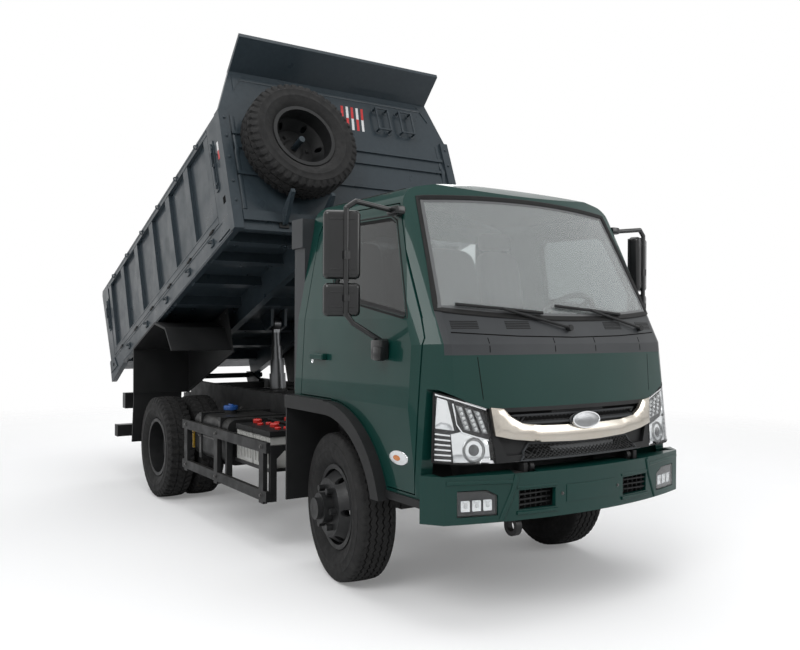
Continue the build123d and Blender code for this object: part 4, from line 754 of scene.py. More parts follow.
def build_headlamp(side, tag):
    skin = Surface("front", "headlamps")
    body = "cab"
    rim = lamp_path(side, [(0.012, 0.012), (0.012, 0.985), (0.985, 0.985), (0.985, 0.012)])
    base = Group().patch(skin, rim, -0.03, -0.022, 0.02)
    walls = Group()
    loop = densify(rim, 0.02, True)
    n = len(loop)
    for u, v in loop:
        point, normal = skin.hit(u, v)
        walls.verts += [point + normal * 0.0005, point - normal * 0.031]
    walls.faces += [(2 * i, 2 * ((i + 1) % n), 2 * ((i + 1) % n) + 1, 2 * i + 1) for i in range(n)]
    base.add(walls.verts, walls.faces)
    tub = base.done(f"lamp_tub_{tag}", "lamp_dark", body, "lamp_lens")
    if side > 0:
        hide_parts("headlamps")
    bright = Group()
    bright.patch(skin, lamp_path(side, [(0.03, 0.49), (0.05, 0.93), (0.2, 0.92), (0.29, 0.5)]), -0.024,
                 -0.006, 0.02, 0.004)
    bright.patch(skin, lamp_path(side, [(0.26, 0.03), (0.24, 0.44), (0.42, 0.5), (0.62, 0.45), (0.8, 0.44),
                                        (0.97, 0.43), (0.97, 0.03)]),
                 -0.024, -0.011, 0.02, 0.004)
    for k in range(6):
        b = 0.05 + k * 0.072
        bright.strip(skin, [in_lamp(side, 0.03, b), in_lamp(side, 0.23, b + 0.006)], 0.011, -0.02, 0.014)
    bright.strip(skin, [in_lamp(side, a, 0.965) for a in (0.02, 0.3, 0.6, 0.98)], 0.013, -0.006, 0.006)
    bright.strip(skin, [in_lamp(side, a, b) for a, b in ((0.29, 0.9), (0.34, 0.6), (0.44, 0.49),
                                                         (0.7, 0.45), (0.96, 0.42))],
                 0.009, -0.016, 0.01)
    bright.done(f"lamp_bright_{tag}", "chrome", body, "lamp_lens")
    bars = Group()
    for top, foot in LAMP_BARS:
        bars.patch(skin, lamp_path(side, [(foot, 0.54), (top, 0.89), (top + 0.125, 0.89),
                                          (foot + 0.105, 0.54)]), -0.023, -0.014, 0.02, 0.003)
    bars.done(f"lamp_bars_{tag}", "lamp_grey", body, "lamp_lens")
    dots = Group()
    for top, foot in LAMP_BARS:
        for k in range(5):
            t = 0.12 + 0.76 * k / 4
            a = top + (foot - top) * t + 0.062 - 0.01 * t
            point, normal = skin.hit(*in_lamp(side, a, 0.89 - 0.35 * t))
            dots.turned(point - normal * 0.013, normal, [(0.0085, 0), (0.0085, 0.003), (0.006, 0.006),
                                                         (0.002, 0.0072)], 14)
    dots.done(f"lamp_dots_{tag}", "white_lens", body, "lamp_lens")
    point, normal = skin.hit(*in_lamp(side, 0.62, 0.235))
    seat = point - normal * 0.012
    ring = Group().turned(seat, normal, [(0.058, 0.0), (0.058, 0.006), (0.052, 0.011), (0.046, 0.011),
                                         (0.042, 0.002), (0.03, -0.004)], 40)
    ring.done(f"lamp_ring_{tag}", "lamp_grey", body, "lamp_lens")
    dome = [(0.036 * sin(t * pi / 20), 0.009 * cos(t * pi / 20) - 0.001) for t in range(10, -1, -1)]
    lens = Group().turned(seat, normal, dome, 36)
    lens.done(f"lamp_projector_{tag}", "dark_lens", body, "lamp_lens")
    cover = Group().patch(skin, rim, -0.0025, 0.0, 0.03)
    cover.done(f"lamp_cover_{tag}", "lens_clear", body, "lamp_lens")
    seal = Group().strip(skin, rim, 0.008, -0.0005, 0.0016, True, 0.02)
    seal.done(f"lamp_seal_{tag}", "rubber", body, "black_plastic")


def bar_half():
    top = [(0.545, 1.006), (0.478, 0.998), (0.44, 0.957), (0.385, 0.927), (0.27, 0.912), (0.14, 0.909),
           (0.0, 0.908)]
    foot = [(0.0, 0.828), (0.1, 0.829), (0.28, 0.836), (0.44, 0.856), (0.53, 0.876)]
    return top, foot


def clip_line(start, end, outline):
    """Part of a line that lies inside a convex outline, or nothing."""
    hits = []
    for a, b in zip(outline, outline[1:] + outline[:1]):
        p = intersect_line_line_2d(Vector(start), Vector(end), Vector(a), Vector(b))
        if p is not None:
            hits.append((p.x, p.y))
    hits.sort()
    if len(hits) < 2 or hypot(hits[-1][0] - hits[0][0], hits[-1][1] - hits[0][1]) < 0.006:
        return None
    return hits[0], hits[-1]


def mesh_bars(surface, outline, pitch, slope, width, lift, thick):
    """Two sets of crossing bars clipped to an outline."""
    us, vs = [p[0] for p in outline], [p[1] for p in outline]
    low_v, high_v = min(vs) - 0.01, max(vs) + 0.01
    run = (high_v - low_v) / slope
    bars = Group()
    count = int((max(us) - min(us) + 2 * run) / pitch)
    for k in range(count + 1):
        u = min(us) - run + k * pitch
        for lean in (run, -run):
            base = u if lean > 0 else u + run
            found = clip_line((base, low_v), (base + lean, high_v), outline)
            if found:
                bars.strip(surface, list(found), width, lift, thick, False, 0.06)
    return bars


def build_grille():
    skin = Surface("front", "grille", "grille_bar", "cab_front_panel", "headlamps")
    top, foot = bar_half()
    outline = top + mirrored(top[:-1])[::-1] + mirrored(foot[1:])[::-1] + foot
    back = Group().patch(skin, [(-0.5, 0.985), (0.5, 0.985), (0.47, 0.775), (-0.47, 0.775)], -0.022, -0.02,
                         0.05)
    back.done("grille_shadow", "dark_joint_and_shade", "cab")
    low_mesh = [(-0.397, 0.755), (0.397, 0.755), (0.335, 0.83), (0.0, 0.822), (-0.335, 0.83)]
    high_mesh = [(-0.425, 0.962), (-0.38, 0.926), (0.38, 0.926), (0.425, 0.962)]
    for name, area in (("grille_mesh_low", low_mesh), ("grille_mesh_high", high_mesh)):
        # A near-black sheet under each mesh: painted shade in the opening behind the grille
        bed = Group().patch(skin, area, -0.001, 0.0012, 0.05)
        bed.done(name + "_bed", "dark_joint_and_shade", "cab")
        mesh_bars(skin, area, 0.026, 0.62, 0.0062, 0.001, 0.006).done(name, "black_plastic", "cab",
                                                                      "black_plastic")
        strip(name + "_rim", skin, area, 0.012, 0.0005, 0.008, "cowl_grey", "cab", True, 0.03)
    strip("grille_trim", skin, [(-0.43, 0.744), (-0.2, 0.736), (0, 0.733), (0.2, 0.736), (0.43, 0.744)],
          0.016, 0.001, 0.009,
          "lamp_grey", "cab", False, 0.04)
    nose = Nose()
    bar = Group().patch(nose, outline, -0.004, 0.016, 0.02, 0.009)
    piece = bar.done("grille_smile", "bar_metal", "cab", "bar_metal", radians(50))
    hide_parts("grille_bar")
    disc = [(0.088 * cos(2 * pi * k / 36), 0.925 + 0.038 * sin(2 * pi * k / 36)) for k in range(36)]
    patch("grille_blank", nose, disc, 0.0, 0.03, "lamp_grey", "cab", 0.02, 0.006)
    strip("grille_blank_rim", nose, disc, 0.01, 0.024, 0.01, "chrome", "cab", True, 0.012)
    fender = Surface("front", "cab_front_panel")
    seams = Group()
    for side in (1, -1):
        seams.strip(fender, [(side * 0.590, 1.262), (side * 0.581, 1.15), (side * 0.573, 1.045)], 0.004,
                    -0.0004, 0.0009)
    seams.done("panel_seams", "dark_joint_and_shade", "cab")


def build_cab_front():
    build_screen()
    for side, tag in SIDES:
        build_headlamp(side, tag)
    build_grille()


build_cab_front()


# Bumper, fog lamps and the near-black sheet of painted shade behind them

FOG_OUTLINE = [(0.549, 0.524), (0.738, 0.524), (0.738, 0.636), (0.602, 0.636), (0.549, 0.607)]
FOG_EYES = (0.592, 0.645, 0.698)


def oval(u, v, half_u, half_v, count=24):
    return [(u + half_u * cos(2 * pi * k / count),
             v + half_v * sin(2 * pi * k / count)) for k in range(count)]


def paint_faces(node, material, chosen):
    """Gives the faces of a part whose middle passes a test another material."""
    mesh = NODES[node].data
    mesh.materials.append(MAT[material])
    index = len(mesh.materials) - 1
    for face in mesh.polygons:
        middle = face.center
        if chosen(middle.x + ORIGIN_X, middle.y, middle.z):
            face.material_index = index


def build_bumper():
    paint_faces("front_bumper", "chassis_paint",
                lambda x, y, z: -0.4495 < y < -0.4145 and (x < 3.735 or z < 0.4875))
    # A near-black ribbed sheet behind the bumper openings: painted shade in the space behind them
    painted_shade_sheet = Group().block(at(3.652, 0, 0.592), AXES, (0.012, 1.5, 0.19), 0.004)
    for k in range(13):
        painted_shade_sheet.block(at(3.66, -0.69 + k * 0.115, 0.592), AXES, (0.012, 0.014, 0.17), 0.003)
    painted_shade_sheet.done("bumper_painted_shade", "dark_joint_and_shade", "chassis", "chassis_paint")
    slats = Group()
    for side in (1, -1):
        for z in (0.556, 0.58, 0.604):
            slats.block(at(3.734, side * 0.335, z), AXES, (0.014, 0.204, 0.008), 0.003)
        for k in range(6):
            slats.block(at(3.728, side * (0.25 + k * 0.034), 0.581), AXES, (0.008, 0.006, 0.088), 0.002)
    slats.done("tow_window_slats", "black_plastic", "chassis", "black_plastic")
    shell = Surface("front", "front_bumper")
    ridges = Group()
    for side in (1, -1):
        ridges.strip(shell, [(side * y, z) for y, z in ((0.447, 0.7), (0.468, 0.625), (0.53, 0.495))],
                     0.026, -0.001, 0.008)
        ridges.strip(shell, [(side * 0.47, 0.668), (side * 0.62, 0.674), (side * 0.79, 0.676)], 0.018,
                     -0.001, 0.006)
        ridges.strip(shell, [(side * 0.222, 0.522), (side * 0.448, 0.522)], 0.016, -0.001, 0.009)
        ridges.strip(shell, [(side * 0.222, 0.639), (side * 0.448, 0.639)], 0.012, -0.001, 0.005)
    ridges.done("bumper_ridges", "cab_paint", "chassis", "cab_paint")
    plate = rect(-0.165, 0.55, 0.165, 0.632)
    patch("bumper_panel", shell, plate, -0.002, 0.003, "cab_paint", "chassis", 0.04, 0.002)
    bolts = Group()
    for y in (-0.19, 0.19):
        point, normal = shell.hit(y, 0.592)
        bolts.bolt(point, normal, 0.006)
    bolts.done("bumper_panel_bolts", "bolt_steel", "chassis")
    lamp = Surface("front", "fog_lamps")
    for side, tag in SIDES:
        outline = [(side * u, v) for u, v in FOG_OUTLINE]
        patch(f"fog_tub_{tag}", lamp, outline, -0.002, 0.0008, "lamp_dark", "chassis", 0.03)
        bright = Group()
        for u in FOG_EYES:
            cell = [(side * (u + a), 0.57 + b) for a, b in
                    ((-0.021, -0.026), (0.018, -0.026), (0.021, -0.02), (0.021, 0.024), (-0.017, 0.024),
                     (-0.021, 0.018))]
            bright.patch(lamp, cell, -0.001, 0.0022, 0.012, 0.0025)
        bright.done(f"fog_reflectors_{tag}", "chrome", "chassis", "lamp_lens")
        eyes = Group()
        for u in FOG_EYES:
            point, normal = lamp.hit(side * u, 0.57)
            eyes.turned(point + normal * 0.0035, normal,
                        [(0.0115, 0), (0.0105, 0.0016), (0.006, 0.0026), (0.001, 0.003)], 18)
        eyes.done(f"fog_eyes_{tag}", "white_lens", "chassis", "lamp_lens")
        strip(f"fog_seal_{tag}", lamp, outline, 0.007, -0.0005, 0.005, "rubber", "chassis", True,
              0.02)
        patch(f"fog_cover_{tag}", lamp, outline, 0.0065, 0.0078, "lens_clear", "chassis", 0.03)


# Doors, mirrors and roof

DOOR_WINDOW = [(3.398, 1.428), (3.176, 1.902), (3.12, 1.93), (2.7, 1.938), (2.648, 1.89), (2.64, 1.552),
               (2.86, 1.516)]
MIRROR_TOE = radians(25)


def build_doors():
    for side, tag in SIDES:
        body = f"door_{tag}_body"
        skin = Surface(tag, f"door_{tag}", f"door_glass_{tag}")
        strip(f"window_gasket_{tag}", skin, DOOR_WINDOW, 0.03, -0.001, 0.004, "rubber", body, True,
              0.03)
        strip(f"window_wiper_{tag}", skin, [(3.39, 1.436), (2.86, 1.524), (2.65, 1.56)], 0.02, 0.001, 0.007,
              "black_plastic", body, False, 0.03)
        base = oval(3.376, 0.762, 0.074, 0.031)
        patch(f"side_lamp_{tag}", skin, base, -0.001, 0.007, "white_lens", body, 0.014, 0.005)
        patch(f"side_lamp_core_{tag}", skin, oval(3.372, 0.762, 0.03, 0.013), 0.006, 0.0125, "amber_lens",
              body, 0.012,
              0.002)
        strip(f"side_lamp_rim_{tag}", skin, base, 0.006, 0.0, 0.004, "chrome", body, True, 0.015)
        point, normal = skin.hit(2.485, 1.186)
        lock = Group().turned(point, normal, [(0.013, -0.001), (0.013, 0.0025), (0.0105, 0.0035),
                                              (0.0095, 0.002)], 20)
        lock.block(point + normal * 0.003, (AHEAD, UP, normal), (0.003, 0.009, 0.002), 0.0006)
        lock.done(f"door_lock_{tag}", "chrome", body, "lamp_lens")
        heads = Group()
        glass = Group()
        turn = side * MIRROR_TOE
        along = Vector((cos(turn), sin(turn), 0))
        across = Vector((-sin(turn), cos(turn), 0))
        axes = (along, across, UP)
        for z, height in ((1.772, 0.33), (1.508, 0.16)):
            centre = at(3.16, side * 1.052, z)
            glass.block(centre - along * 0.0385, axes, (0.004, 0.146, height - 0.034), 0.0015)
            for k in (-1, 1):
                heads.block(centre + along * 0.0375 + Vector((0, 0, k * (height / 2 - 0.045))), axes,
                            (0.006, 0.118, 0.007), 0.002)
            heads.block(centre - along * 0.036, axes, (0.006, 0.158, height - 0.02), 0.002)
        heads.block(at(3.24, side * 0.884, 1.268), AXES, (0.082, 0.058, 0.1), 0.014)
        heads.block(at(3.262, side * 0.9, 1.25), AXES, (0.05, 0.046, 0.07), 0.012)
        heads.block(at(3.2, side * 0.768, 1.955), AXES, (0.09, 0.06, 0.042), 0.012)
        heads.done(f"mirror_trim_{tag}", "mirror_plastic", body, "mirror_plastic")
        glass.done(f"mirror_glass_{tag}", "mirror_glass", body, "lamp_lens")
    roof = Surface("top", "cab_roof", "cab_frame")
    drip = Group()
    for side in (1, -1):
        drip.strip(roof, [(2.4, side * 0.655), (2.8, side * 0.66), (3.1, side * 0.648)], 0.016, -0.001, 0.005)
    drip.done("roof_mouldings", "rubber", "cab", "black_plastic")
    panel = Group()
    for y in (-0.32, 0.0, 0.32):
        panel.strip(roof, [(2.5, y), (2.98, y)], 0.05, -0.001, 0.004)
    panel.done("roof_beads", "cab_paint", "cab", "cab_paint")


# Bed

GATE_BACK = -0.134
GATE_FRONT = 2.651
BOARD_FRONT = 2.901
SPARE = (-0.45, 0.625)


def build_bed_sides():
    for side, tag in SIDES:
        gate = f"gate_{tag}"
        skin = Surface(f"bed_{tag}", f"side_gate_{tag}", "bed_floor")
        face = side * BED_HALF_W

        def off(l, proud, z):
            return on_bed(l, face + side * proud, z)

        hooks = Group()
        for k in range(6):
            l = 0.1 + k * 0.47
            hooks.block(off(l, 0.003, 0.862), BED_AXES, (0.032, 0.008, 0.03), 0.002)
            hooks.tube([off(l, 0.004, 0.87), off(l, 0.022, 0.872),
                        off(l, 0.026, 0.845), off(l, 0.004, 0.84)], 0.0042, 8)
        hooks.done(f"gate_hooks_{tag}", "bed_paint", gate, "bed_paint")
        edge = Group()
        edge.strip(skin, [(GATE_BACK + 0.02, 0.876), (GATE_FRONT - 0.01, 0.876)], 0.014, -0.0005, 0.003,
                   False, 0.2)
        edge.strip(skin, [(GATE_BACK + 0.02, 0.838), (GATE_FRONT - 0.01, 0.838)], 0.01, -0.0005, 0.003,
                   False, 0.2)
        edge.strip(skin, [(GATE_BACK + 0.04, 0.208), (GATE_FRONT - 0.01, 0.208)], 0.012, -0.0005, 0.003,
                   False, 0.05)
        edge.done(f"gate_edges_{tag}", "bed_paint", gate, "bed_paint")
        rail = Group()
        rail.strip(skin, [(-0.31, 0.136), (2.85, 0.136)], 0.016, -0.0005, 0.004, False, 0.2)
        rail.strip(skin, [(0.12, 0.016), (2.85, 0.016)], 0.016, -0.0005, 0.004, False, 0.2)
        rail.patch(skin, [(2.62, 0.03), (2.86, 0.03), (2.86, 0.128), (2.74, 0.128)], -0.001, 0.008, 0.06)
        rail.patch(skin, [(-0.3, 0.03), (-0.08, 0.03), (-0.14, 0.128), (-0.3, 0.128)], -0.001, 0.008, 0.06)
        for l in (0.35, 0.9, 1.45, 2.0, 2.5):
            rail.block(off(l, 0.004, 0.078), BED_AXES, (0.055, 0.01, 0.05), 0.003)
            rail.tube([off(l - 0.02, 0.006, 0.09), off(l - 0.02, 0.026, 0.086),
                       off(l + 0.02, 0.026, 0.086), off(l + 0.02, 0.006, 0.09)], 0.0055, 8)
        rail.done(f"bed_rail_trim_{tag}", "bed_paint", "bed", "bed_paint")
        knuckles = Group()
        for l in (0.12, 0.6, 1.08, 1.56, 2.04, 2.52):
            knuckles.turned(off(l - 0.035, 0.004, 0.15), BED_ALONG,
                            [(0.009, 0), (0.0105, 0.002), (0.0105, 0.033), (0.0085, 0.0345), (0.0105, 0.036),
                             (0.0105, 0.068), (0.009, 0.07)], 14)
        knuckles.done(f"gate_knuckles_{tag}", "chassis_paint", "bed", "bed_paint")
        latch = Group()
        for l, low, high in ((2.722, 0.36, 0.74), (-0.2, 0.42, 0.74)):
            latch.block(off(l, 0.003, (low + high) / 2), BED_AXES, (0.042, 0.008, high - low), 0.003)
            latch.tube([off(l, 0.012, low + 0.02), off(l, 0.012, high - 0.02)], 0.007, 10)
            for z in (low + 0.05, (low + high) / 2, high - 0.05):
                latch.block(off(l, 0.01, z), BED_AXES, (0.034, 0.012, 0.02), 0.002)
            latch.tube([off(l, 0.012, high - 0.09), off(l + 0.012, 0.026, high - 0.1),
                        off(l + 0.014, 0.026, high - 0.2)], 0.006, 8)
        latch.done(f"bed_latches_{tag}", "bed_paint", "bed", "bed_paint")
        # Dark patches over two holes in the side: painted shade inside the holes
        dark = Group()
        dark.patch(skin, rect(2.775, 0.235, 2.825, 0.285), -0.001, 0.0008, 0.03)
        dark.patch(skin, oval(-0.18, 0.075, 0.018, 0.018, 16), -0.001, 0.009, 0.02)
        dark.done(f"bed_hole_shade_{tag}", "dark_joint_and_shade", "bed")
        red = Group().patch(skin, rect(2.795, 0.56, 2.825, 0.625), 0.0, 0.0014, 0.03)
        red.done(f"side_reflector_red_{tag}", "red_reflector", "bed", "red_lens")
        pale = Group().patch(skin, rect(2.795, 0.627, 2.825, 0.69), 0.0, 0.0014, 0.03)
        pale.done(f"side_reflector_white_{tag}", "white_reflector", "bed", "lamp_lens")


def build_aprons():
    """Inner mudguards beside the rear tyres, hung from the bed."""
    aprons, rivets = Group(), Group()
    for side in (1, -1):
        y = side * 0.497
        aprons.block(on_bed(0.99, y, -0.205), BED_AXES, (1.12, 0.006, 0.38), 0.002)
        aprons.block(on_bed(0.99, y, -0.385), BED_AXES, (1.12, 0.014, 0.02), 0.003)
        for k in range(9):
            rivets.turned(on_bed(0.47 + 0.13 * k, y + side * 0.003, -0.05), ACROSS * side,
                          [(0.008, -0.001), (0.0075, 0.002), (0.004, 0.004), (0.001, 0.0044)], 10)
    aprons.done("inner_mudguards", "black_plastic", "bed", "black_plastic")
    rivets.done("mudguard_rivets", "bolt_steel", "bed", "bed_paint")


def build_headboard():
    board = Surface("headboard", "headboard")
    red, pale = Group(), Group()
    for k in range(5):
        y = 0.012 + 0.043 * k
        for part in range(2):
            low = 0.89 + 0.1 * part
            lean = 0.022
            a, b = lean * part / 2, lean * (part + 1) / 2
            cell = [(y + a, low), (y + a + 0.02, low), (y + b + 0.02, low + 0.099), (y + b, low + 0.099)]
            (red if (k + part) % 2 else pale).patch(board, cell, 0.0, 0.0014, 0.05)
    red.done("board_reflector_red", "red_reflector", "bed", "red_lens")
    pale.done("board_reflector_white", "white_reflector", "bed", "lamp_lens")
    grips = Group()
    for y0, y1 in ((0.316, 0.422), (0.527, 0.636)):
        for z in (0.91, 1.09):
            grips.tube([on_bed(BOARD_FRONT + 0.046, y0, z), on_bed(BOARD_FRONT + 0.046, y1, z)], 0.0078, 10)
        for y in (y0, y1):
            for z in (0.91, 1.09):
                grips.turned(on_bed(BOARD_FRONT, y, z), BED_ALONG,
                             [(0.02, 0), (0.02, 0.003), (0.012, 0.006)], 16)
    grips.done("hand_grips", "bed_paint", "bed", "bed_paint")
    beads = Group()
    for side in (1, -1):
        beads.strip(board, [(side * 0.86, 0.15), (side * 0.86, 0.85)], 0.03, -0.0005, 0.006, False, 0.06)
        beads.patch(board, [(side * 0.82, 1.19), (side * 0.74, 1.19), (side * 0.82, 1.06)], 0.0, 0.006, 0.05)
        for z in (0.2, 0.34, 0.52, 0.68, 0.82):
            point, normal = board.hit(side * 0.925, z)
            beads.bolt(point, normal, 0.009)
    beads.strip(board, [(-0.81, 1.165), (0.81, 1.165)], 0.03, -0.0005, 0.006, False, 0.1)
    beads.done("board_beads", "bed_paint", "bed", "bed_paint")
    y, z = SPARE
    clamp = Group()
    seat = BOARD_FRONT + 0.036
    clamp.turned(on_bed(seat, y, z), BED_ALONG, [(0.075, 0), (0.075, 0.006), (0.06, 0.012), (0.03, 0.014)],
                 32)
    clamp.turned(on_bed(seat + 0.012, y, z), BED_ALONG, [(0.024, 0), (0.024, 0.02), (0.018, 0.024)], 6)
    for k in range(6):
        angle = pi * k / 3
        spot = on_bed(seat - 0.001, y + 0.1025 * cos(angle), z + 0.1025 * sin(angle))
        clamp.bolt(spot, BED_ALONG, 0.012)
    for side in (1, -1):
        clamp.block(on_bed(BOARD_FRONT + 0.006, y + side * 0.15, 0.08), BED_AXES, (0.012, 0.07, 0.11), 0.004)
        clamp.bolt(on_bed(BOARD_FRONT + 0.012, y + side * 0.172, 0.06), BED_ALONG, 0.009)
        clamp.bolt(on_bed(BOARD_FRONT + 0.012, y + side * 0.172, 0.1), BED_ALONG, 0.009)
    clamp.done("spare_carrier", "chassis_paint", "bed", "bed_paint")


def build_tail():
    gate = Surface("tail", "tailgate")
    trim = Group()
    for z in (0.28, 0.52, 0.76):
        for y in (-0.525, -0.175, 0.175, 0.525):
            trim.strip(gate, [(y - 0.125, z), (y + 0.125, z)], 0.03, -0.0005, 0.006)
    for side in (1, -1):
        for z in (0.2, 0.45, 0.7):
            point, normal = gate.hit(side * 0.84, z)
            trim.bolt(point, normal, 0.01)
    trim.done("tailgate_beads", "bed_paint", "tailgate_body", "bed_paint")
    lamp = Surface("back", "tail_lamps")
    pieces = {"red_lens": Group(), "amber_lens": Group(), "white_lens": Group()}
    rims = Group()
    for side in (1, -1):
        for material, low, high in (("white_lens", 0.652, 0.735), ("red_lens", 0.742, 0.828),
                                    ("amber_lens", 0.835, 0.918)):
            cell = rect(side * low, 0.637, side * high, 0.745)
            pieces[material].patch(lamp, cell, -0.001, 0.006, 0.02, 0.004)
        frame_line = rect(side * 0.646, 0.628, side * 0.924, 0.754)
        rims.strip(lamp, frame_line, 0.012, -0.001, 0.006, True, 0.03)
    for material, group in pieces.items():
        group.done(f"tail_{material}", material, "chassis",
                   "red_lens" if material != "white_lens" else "lamp_lens")
    rims.done("tail_lamp_rims", "black_plastic", "chassis", "black_plastic")
    bar = Surface("back", "rear_bumper")
    for name, material, spots in (("bar_reflector_red", "red_reflector", (0, 2, 4, 6, 8)),
                                  ("bar_reflector_white", "white_reflector", (1, 3, 5, 7))):
        group = Group()
        for k in spots:
            y = -0.8 + 0.2 * k
            group.patch(bar, rect(y - 0.095, 0.395, y + 0.095, 0.435), 0.0, 0.0015, 0.06)
        group.done(name, material, "chassis", "red_lens")
    ends = Group()
    for side in (1, -1):
        ends.block(at(-1.14, side * 0.979, 0.414), AXES, (0.104, 0.006, 0.108), 0.002)
        for z in (0.52, 0.58, 0.68):
            ends.bolt(at(-1.131, side * 0.326, z), Vector((-1, 0, 0)), 0.011)
    ends.done("rear_bar_ends", "black_plastic", "chassis", "chassis_paint")


# Chassis fittings

def build_chassis():
    paint_faces("batteries", "black_plastic", lambda x, y, z: z > 0.6905)
    paint_faces("batteries", "chassis_paint", lambda x, y, z: z < 0.4945 or y > -0.3795)
    caps, posts, ribs = Group(), Group(), Group()
    for x0 in (1.395, 1.665):
        for k in range(6):
            caps.turned(at(x0 + 0.175, -0.46 - 0.06 * k, 0.725), UP,
                        [(0.02, 0), (0.021, 0.004), (0.021, 0.012), (0.017, 0.016), (0.005, 0.0165)], 16)
        for y in (-0.5, -0.73):
            caps.turned(at(x0 + 0.06, y, 0.742), UP,
                        [(0.03, -0.014), (0.031, 0.004), (0.024, 0.012), (0.01, 0.014)], 18)
        for k in range(5):
            ribs.block(at(x0 + 0.03 + k * 0.049, -0.852, 0.6), AXES, (0.012, 0.008, 0.16), 0.003)
    caps.done("battery_caps", "red_plastic", "chassis", "red_lens")
    ribs.done("battery_ribs", "battery_case", "chassis", "battery_case")
    posts.block(at(1.655, -0.615, 0.742), AXES, (0.53, 0.03, 0.012), 0.003)
    posts.tube([at(1.4, -0.615, 0.74), at(1.385, -0.615, 0.72), at(1.385, -0.615, 0.5)], 0.006, 8)
    posts.tube([at(1.91, -0.615, 0.74), at(1.925, -0.615, 0.72), at(1.925, -0.615, 0.5)], 0.006, 8)
    posts.done("battery_clamp", "rubber", "chassis", "black_plastic")
    cap = Group().turned(at(0.91, -0.7, 0.772), UP,
                         [(0.05, -0.004), (0.052, 0.004), (0.052, 0.02), (0.046, 0.026), (0.012, 0.028)], 28)
    cap.block(at(0.91, -0.7, 0.802), AXES, (0.07, 0.014, 0.014), 0.004)
    cap.done("tank_cap", "blue_plastic", "chassis", "tank_steel")
    straps = Group()
    tank = Surface("right", "fuel_tank")
    for x in (0.82, 1.19):
        straps.strip(tank, [(x, 0.46), (x, 0.72)], 0.03, 0.0, 0.003)
        point, normal = tank.hit(x, 0.585)
        straps.bolt(point + normal * 0.002, normal, 0.01)
    straps.strip(tank, [(0.72, 0.585), (0.79, 0.585)], 0.012, 0.0, 0.003)
    straps.strip(tank, [(0.86, 0.585), (1.15, 0.585)], 0.012, 0.0, 0.003)
    straps.done("tank_straps", "bolt_steel", "chassis", "tank_steel")
    bolts = Group()
    for side in (1, -1):
        for x in (0.64, 1.24, 1.99):
            for z in (0.354, 0.648):
                bolts.bolt(at(x, side * 0.943, z), Vector((0, side, 0)), 0.011)
        for x in (-0.9, -0.7, -0.3, 0.0, 0.3, 0.75, 0.95, 1.35, 1.55):
            for z in (0.64, 0.71):
                bolts.bolt(at(x, side * 0.36, z), Vector((0, side, 0)), 0.01)
    bolts.done("frame_bolts", "bolt_steel", "chassis", "chassis_paint")
    lever = Group().block(at(0.6, -0.86, 0.52), AXES, (0.02, 0.03, 0.11), 0.005)
    lever.turned(at(0.6, -0.86, 0.575), UP, [(0.012, 0), (0.018, 0.006), (0.018, 0.018), (0.01, 0.026)], 16)
    lever.done("drain_lever", "yellow_paint", "chassis")


# Cab inside

FALL_OFF = 2.718
NARROW_SEAT = 0.5
SEAT_ROWS = ((0.375, 0.68), (-0.68, -0.375), (-0.33, 0.33))


def cushion(centre, axes, size, power=5.0, quilts=0, narrow=0.0, name="cushion"):
    """A stuffed block: a rounded box with sewn grooves over its upper face, narrower toward one end."""
    bm = bmesh.new()
    bmesh.ops.create_cube(bm, size=2.0)
    bmesh.ops.subdivide_edges(bm, edges=bm.edges[:], cuts=15, use_grid_fill=True)
    a, b, c = (Vector(x).normalized() for x in axes)
    verts = []
    bm.verts.index_update()
    for v in bm.verts:
        p = v.co
        reach = (abs(p.x) ** power + abs(p.y) ** power + abs(p.z) ** power) ** (1 / power)
        q = p / reach
        sunk = 0.0
        if q.z > 0.2:
            for k in range(quilts):
                line = -0.6 + 1.2 * k / max(1, quilts - 1)
                sunk += 0.09 * FALL_OFF ** (-((q.y - line) / 0.06) ** 2)
            sunk += 0.05 * FALL_OFF ** (-((abs(q.x) - 0.78) / 0.05) ** 2)
        scale = 1.0 - narrow * (q.x + 1) / 2
        rise = c * (q.z - sunk) * scale * size[2] / 2
        verts.append(Vector(centre) + a * q.x * size[0] / 2 + b * q.y * size[1] / 2 + rise)
    faces = [tuple(v.index for v in f.verts) for f in bm.faces]
    bm.free()
    piece = new_object(name, verts, faces, "seat_cloth", "cab", radians(60))
    return piece


def build_seats():
    first = None
    lean = Vector((-0.105, 0, 0.68)).normalized()
    ahead = Vector((lean.z, 0, -lean.x))
    for row, (y0, y1) in enumerate(SEAT_ROWS):
        middle, width = (y0 + y1) / 2, y1 - y0
        quilts = 4 if width < NARROW_SEAT else 7
        base = cushion(at(2.745, middle, 1.182), (AHEAD, ACROSS, UP), (0.44, width, 0.096),
                       6.0, quilts, 0.0, f"seat_base_{row}")
        first = first or base
        cushion(at(2.476, middle, 1.52), (lean, ACROSS, ahead), (0.7, width, 0.17), 6.0, quilts, 0.35,
                f"seat_back_{row}")
        if width < NARROW_SEAT:
            cushion(at(2.411, middle, 1.935), (lean, ACROSS, ahead), (0.11, 0.25, 0.08), 4.0, 0, 0.0,
                    f"head_rest_{row}")
            plinth = Group()
            plinth.block(at(2.715, middle, 1.042), AXES, (0.43, width - 0.06, 0.18), 0.012)
            for side in (1, -1):
                plinth.tube([at(2.54, middle + side * 0.1, 0.962), at(2.9, middle + side * 0.1, 0.962)],
                            0.012, 10)
                plinth.tube([at(2.43, middle + side * 0.06, 1.84), at(2.413, middle + side * 0.06, 1.93)],
                            0.007, 10)
            plinth.done(f"seat_plinth_{row}", "black_plastic", "cab", "black_plastic")
    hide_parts("seats")


DASH_VENTS = (-0.58, -0.2, 0.12, 0.64)


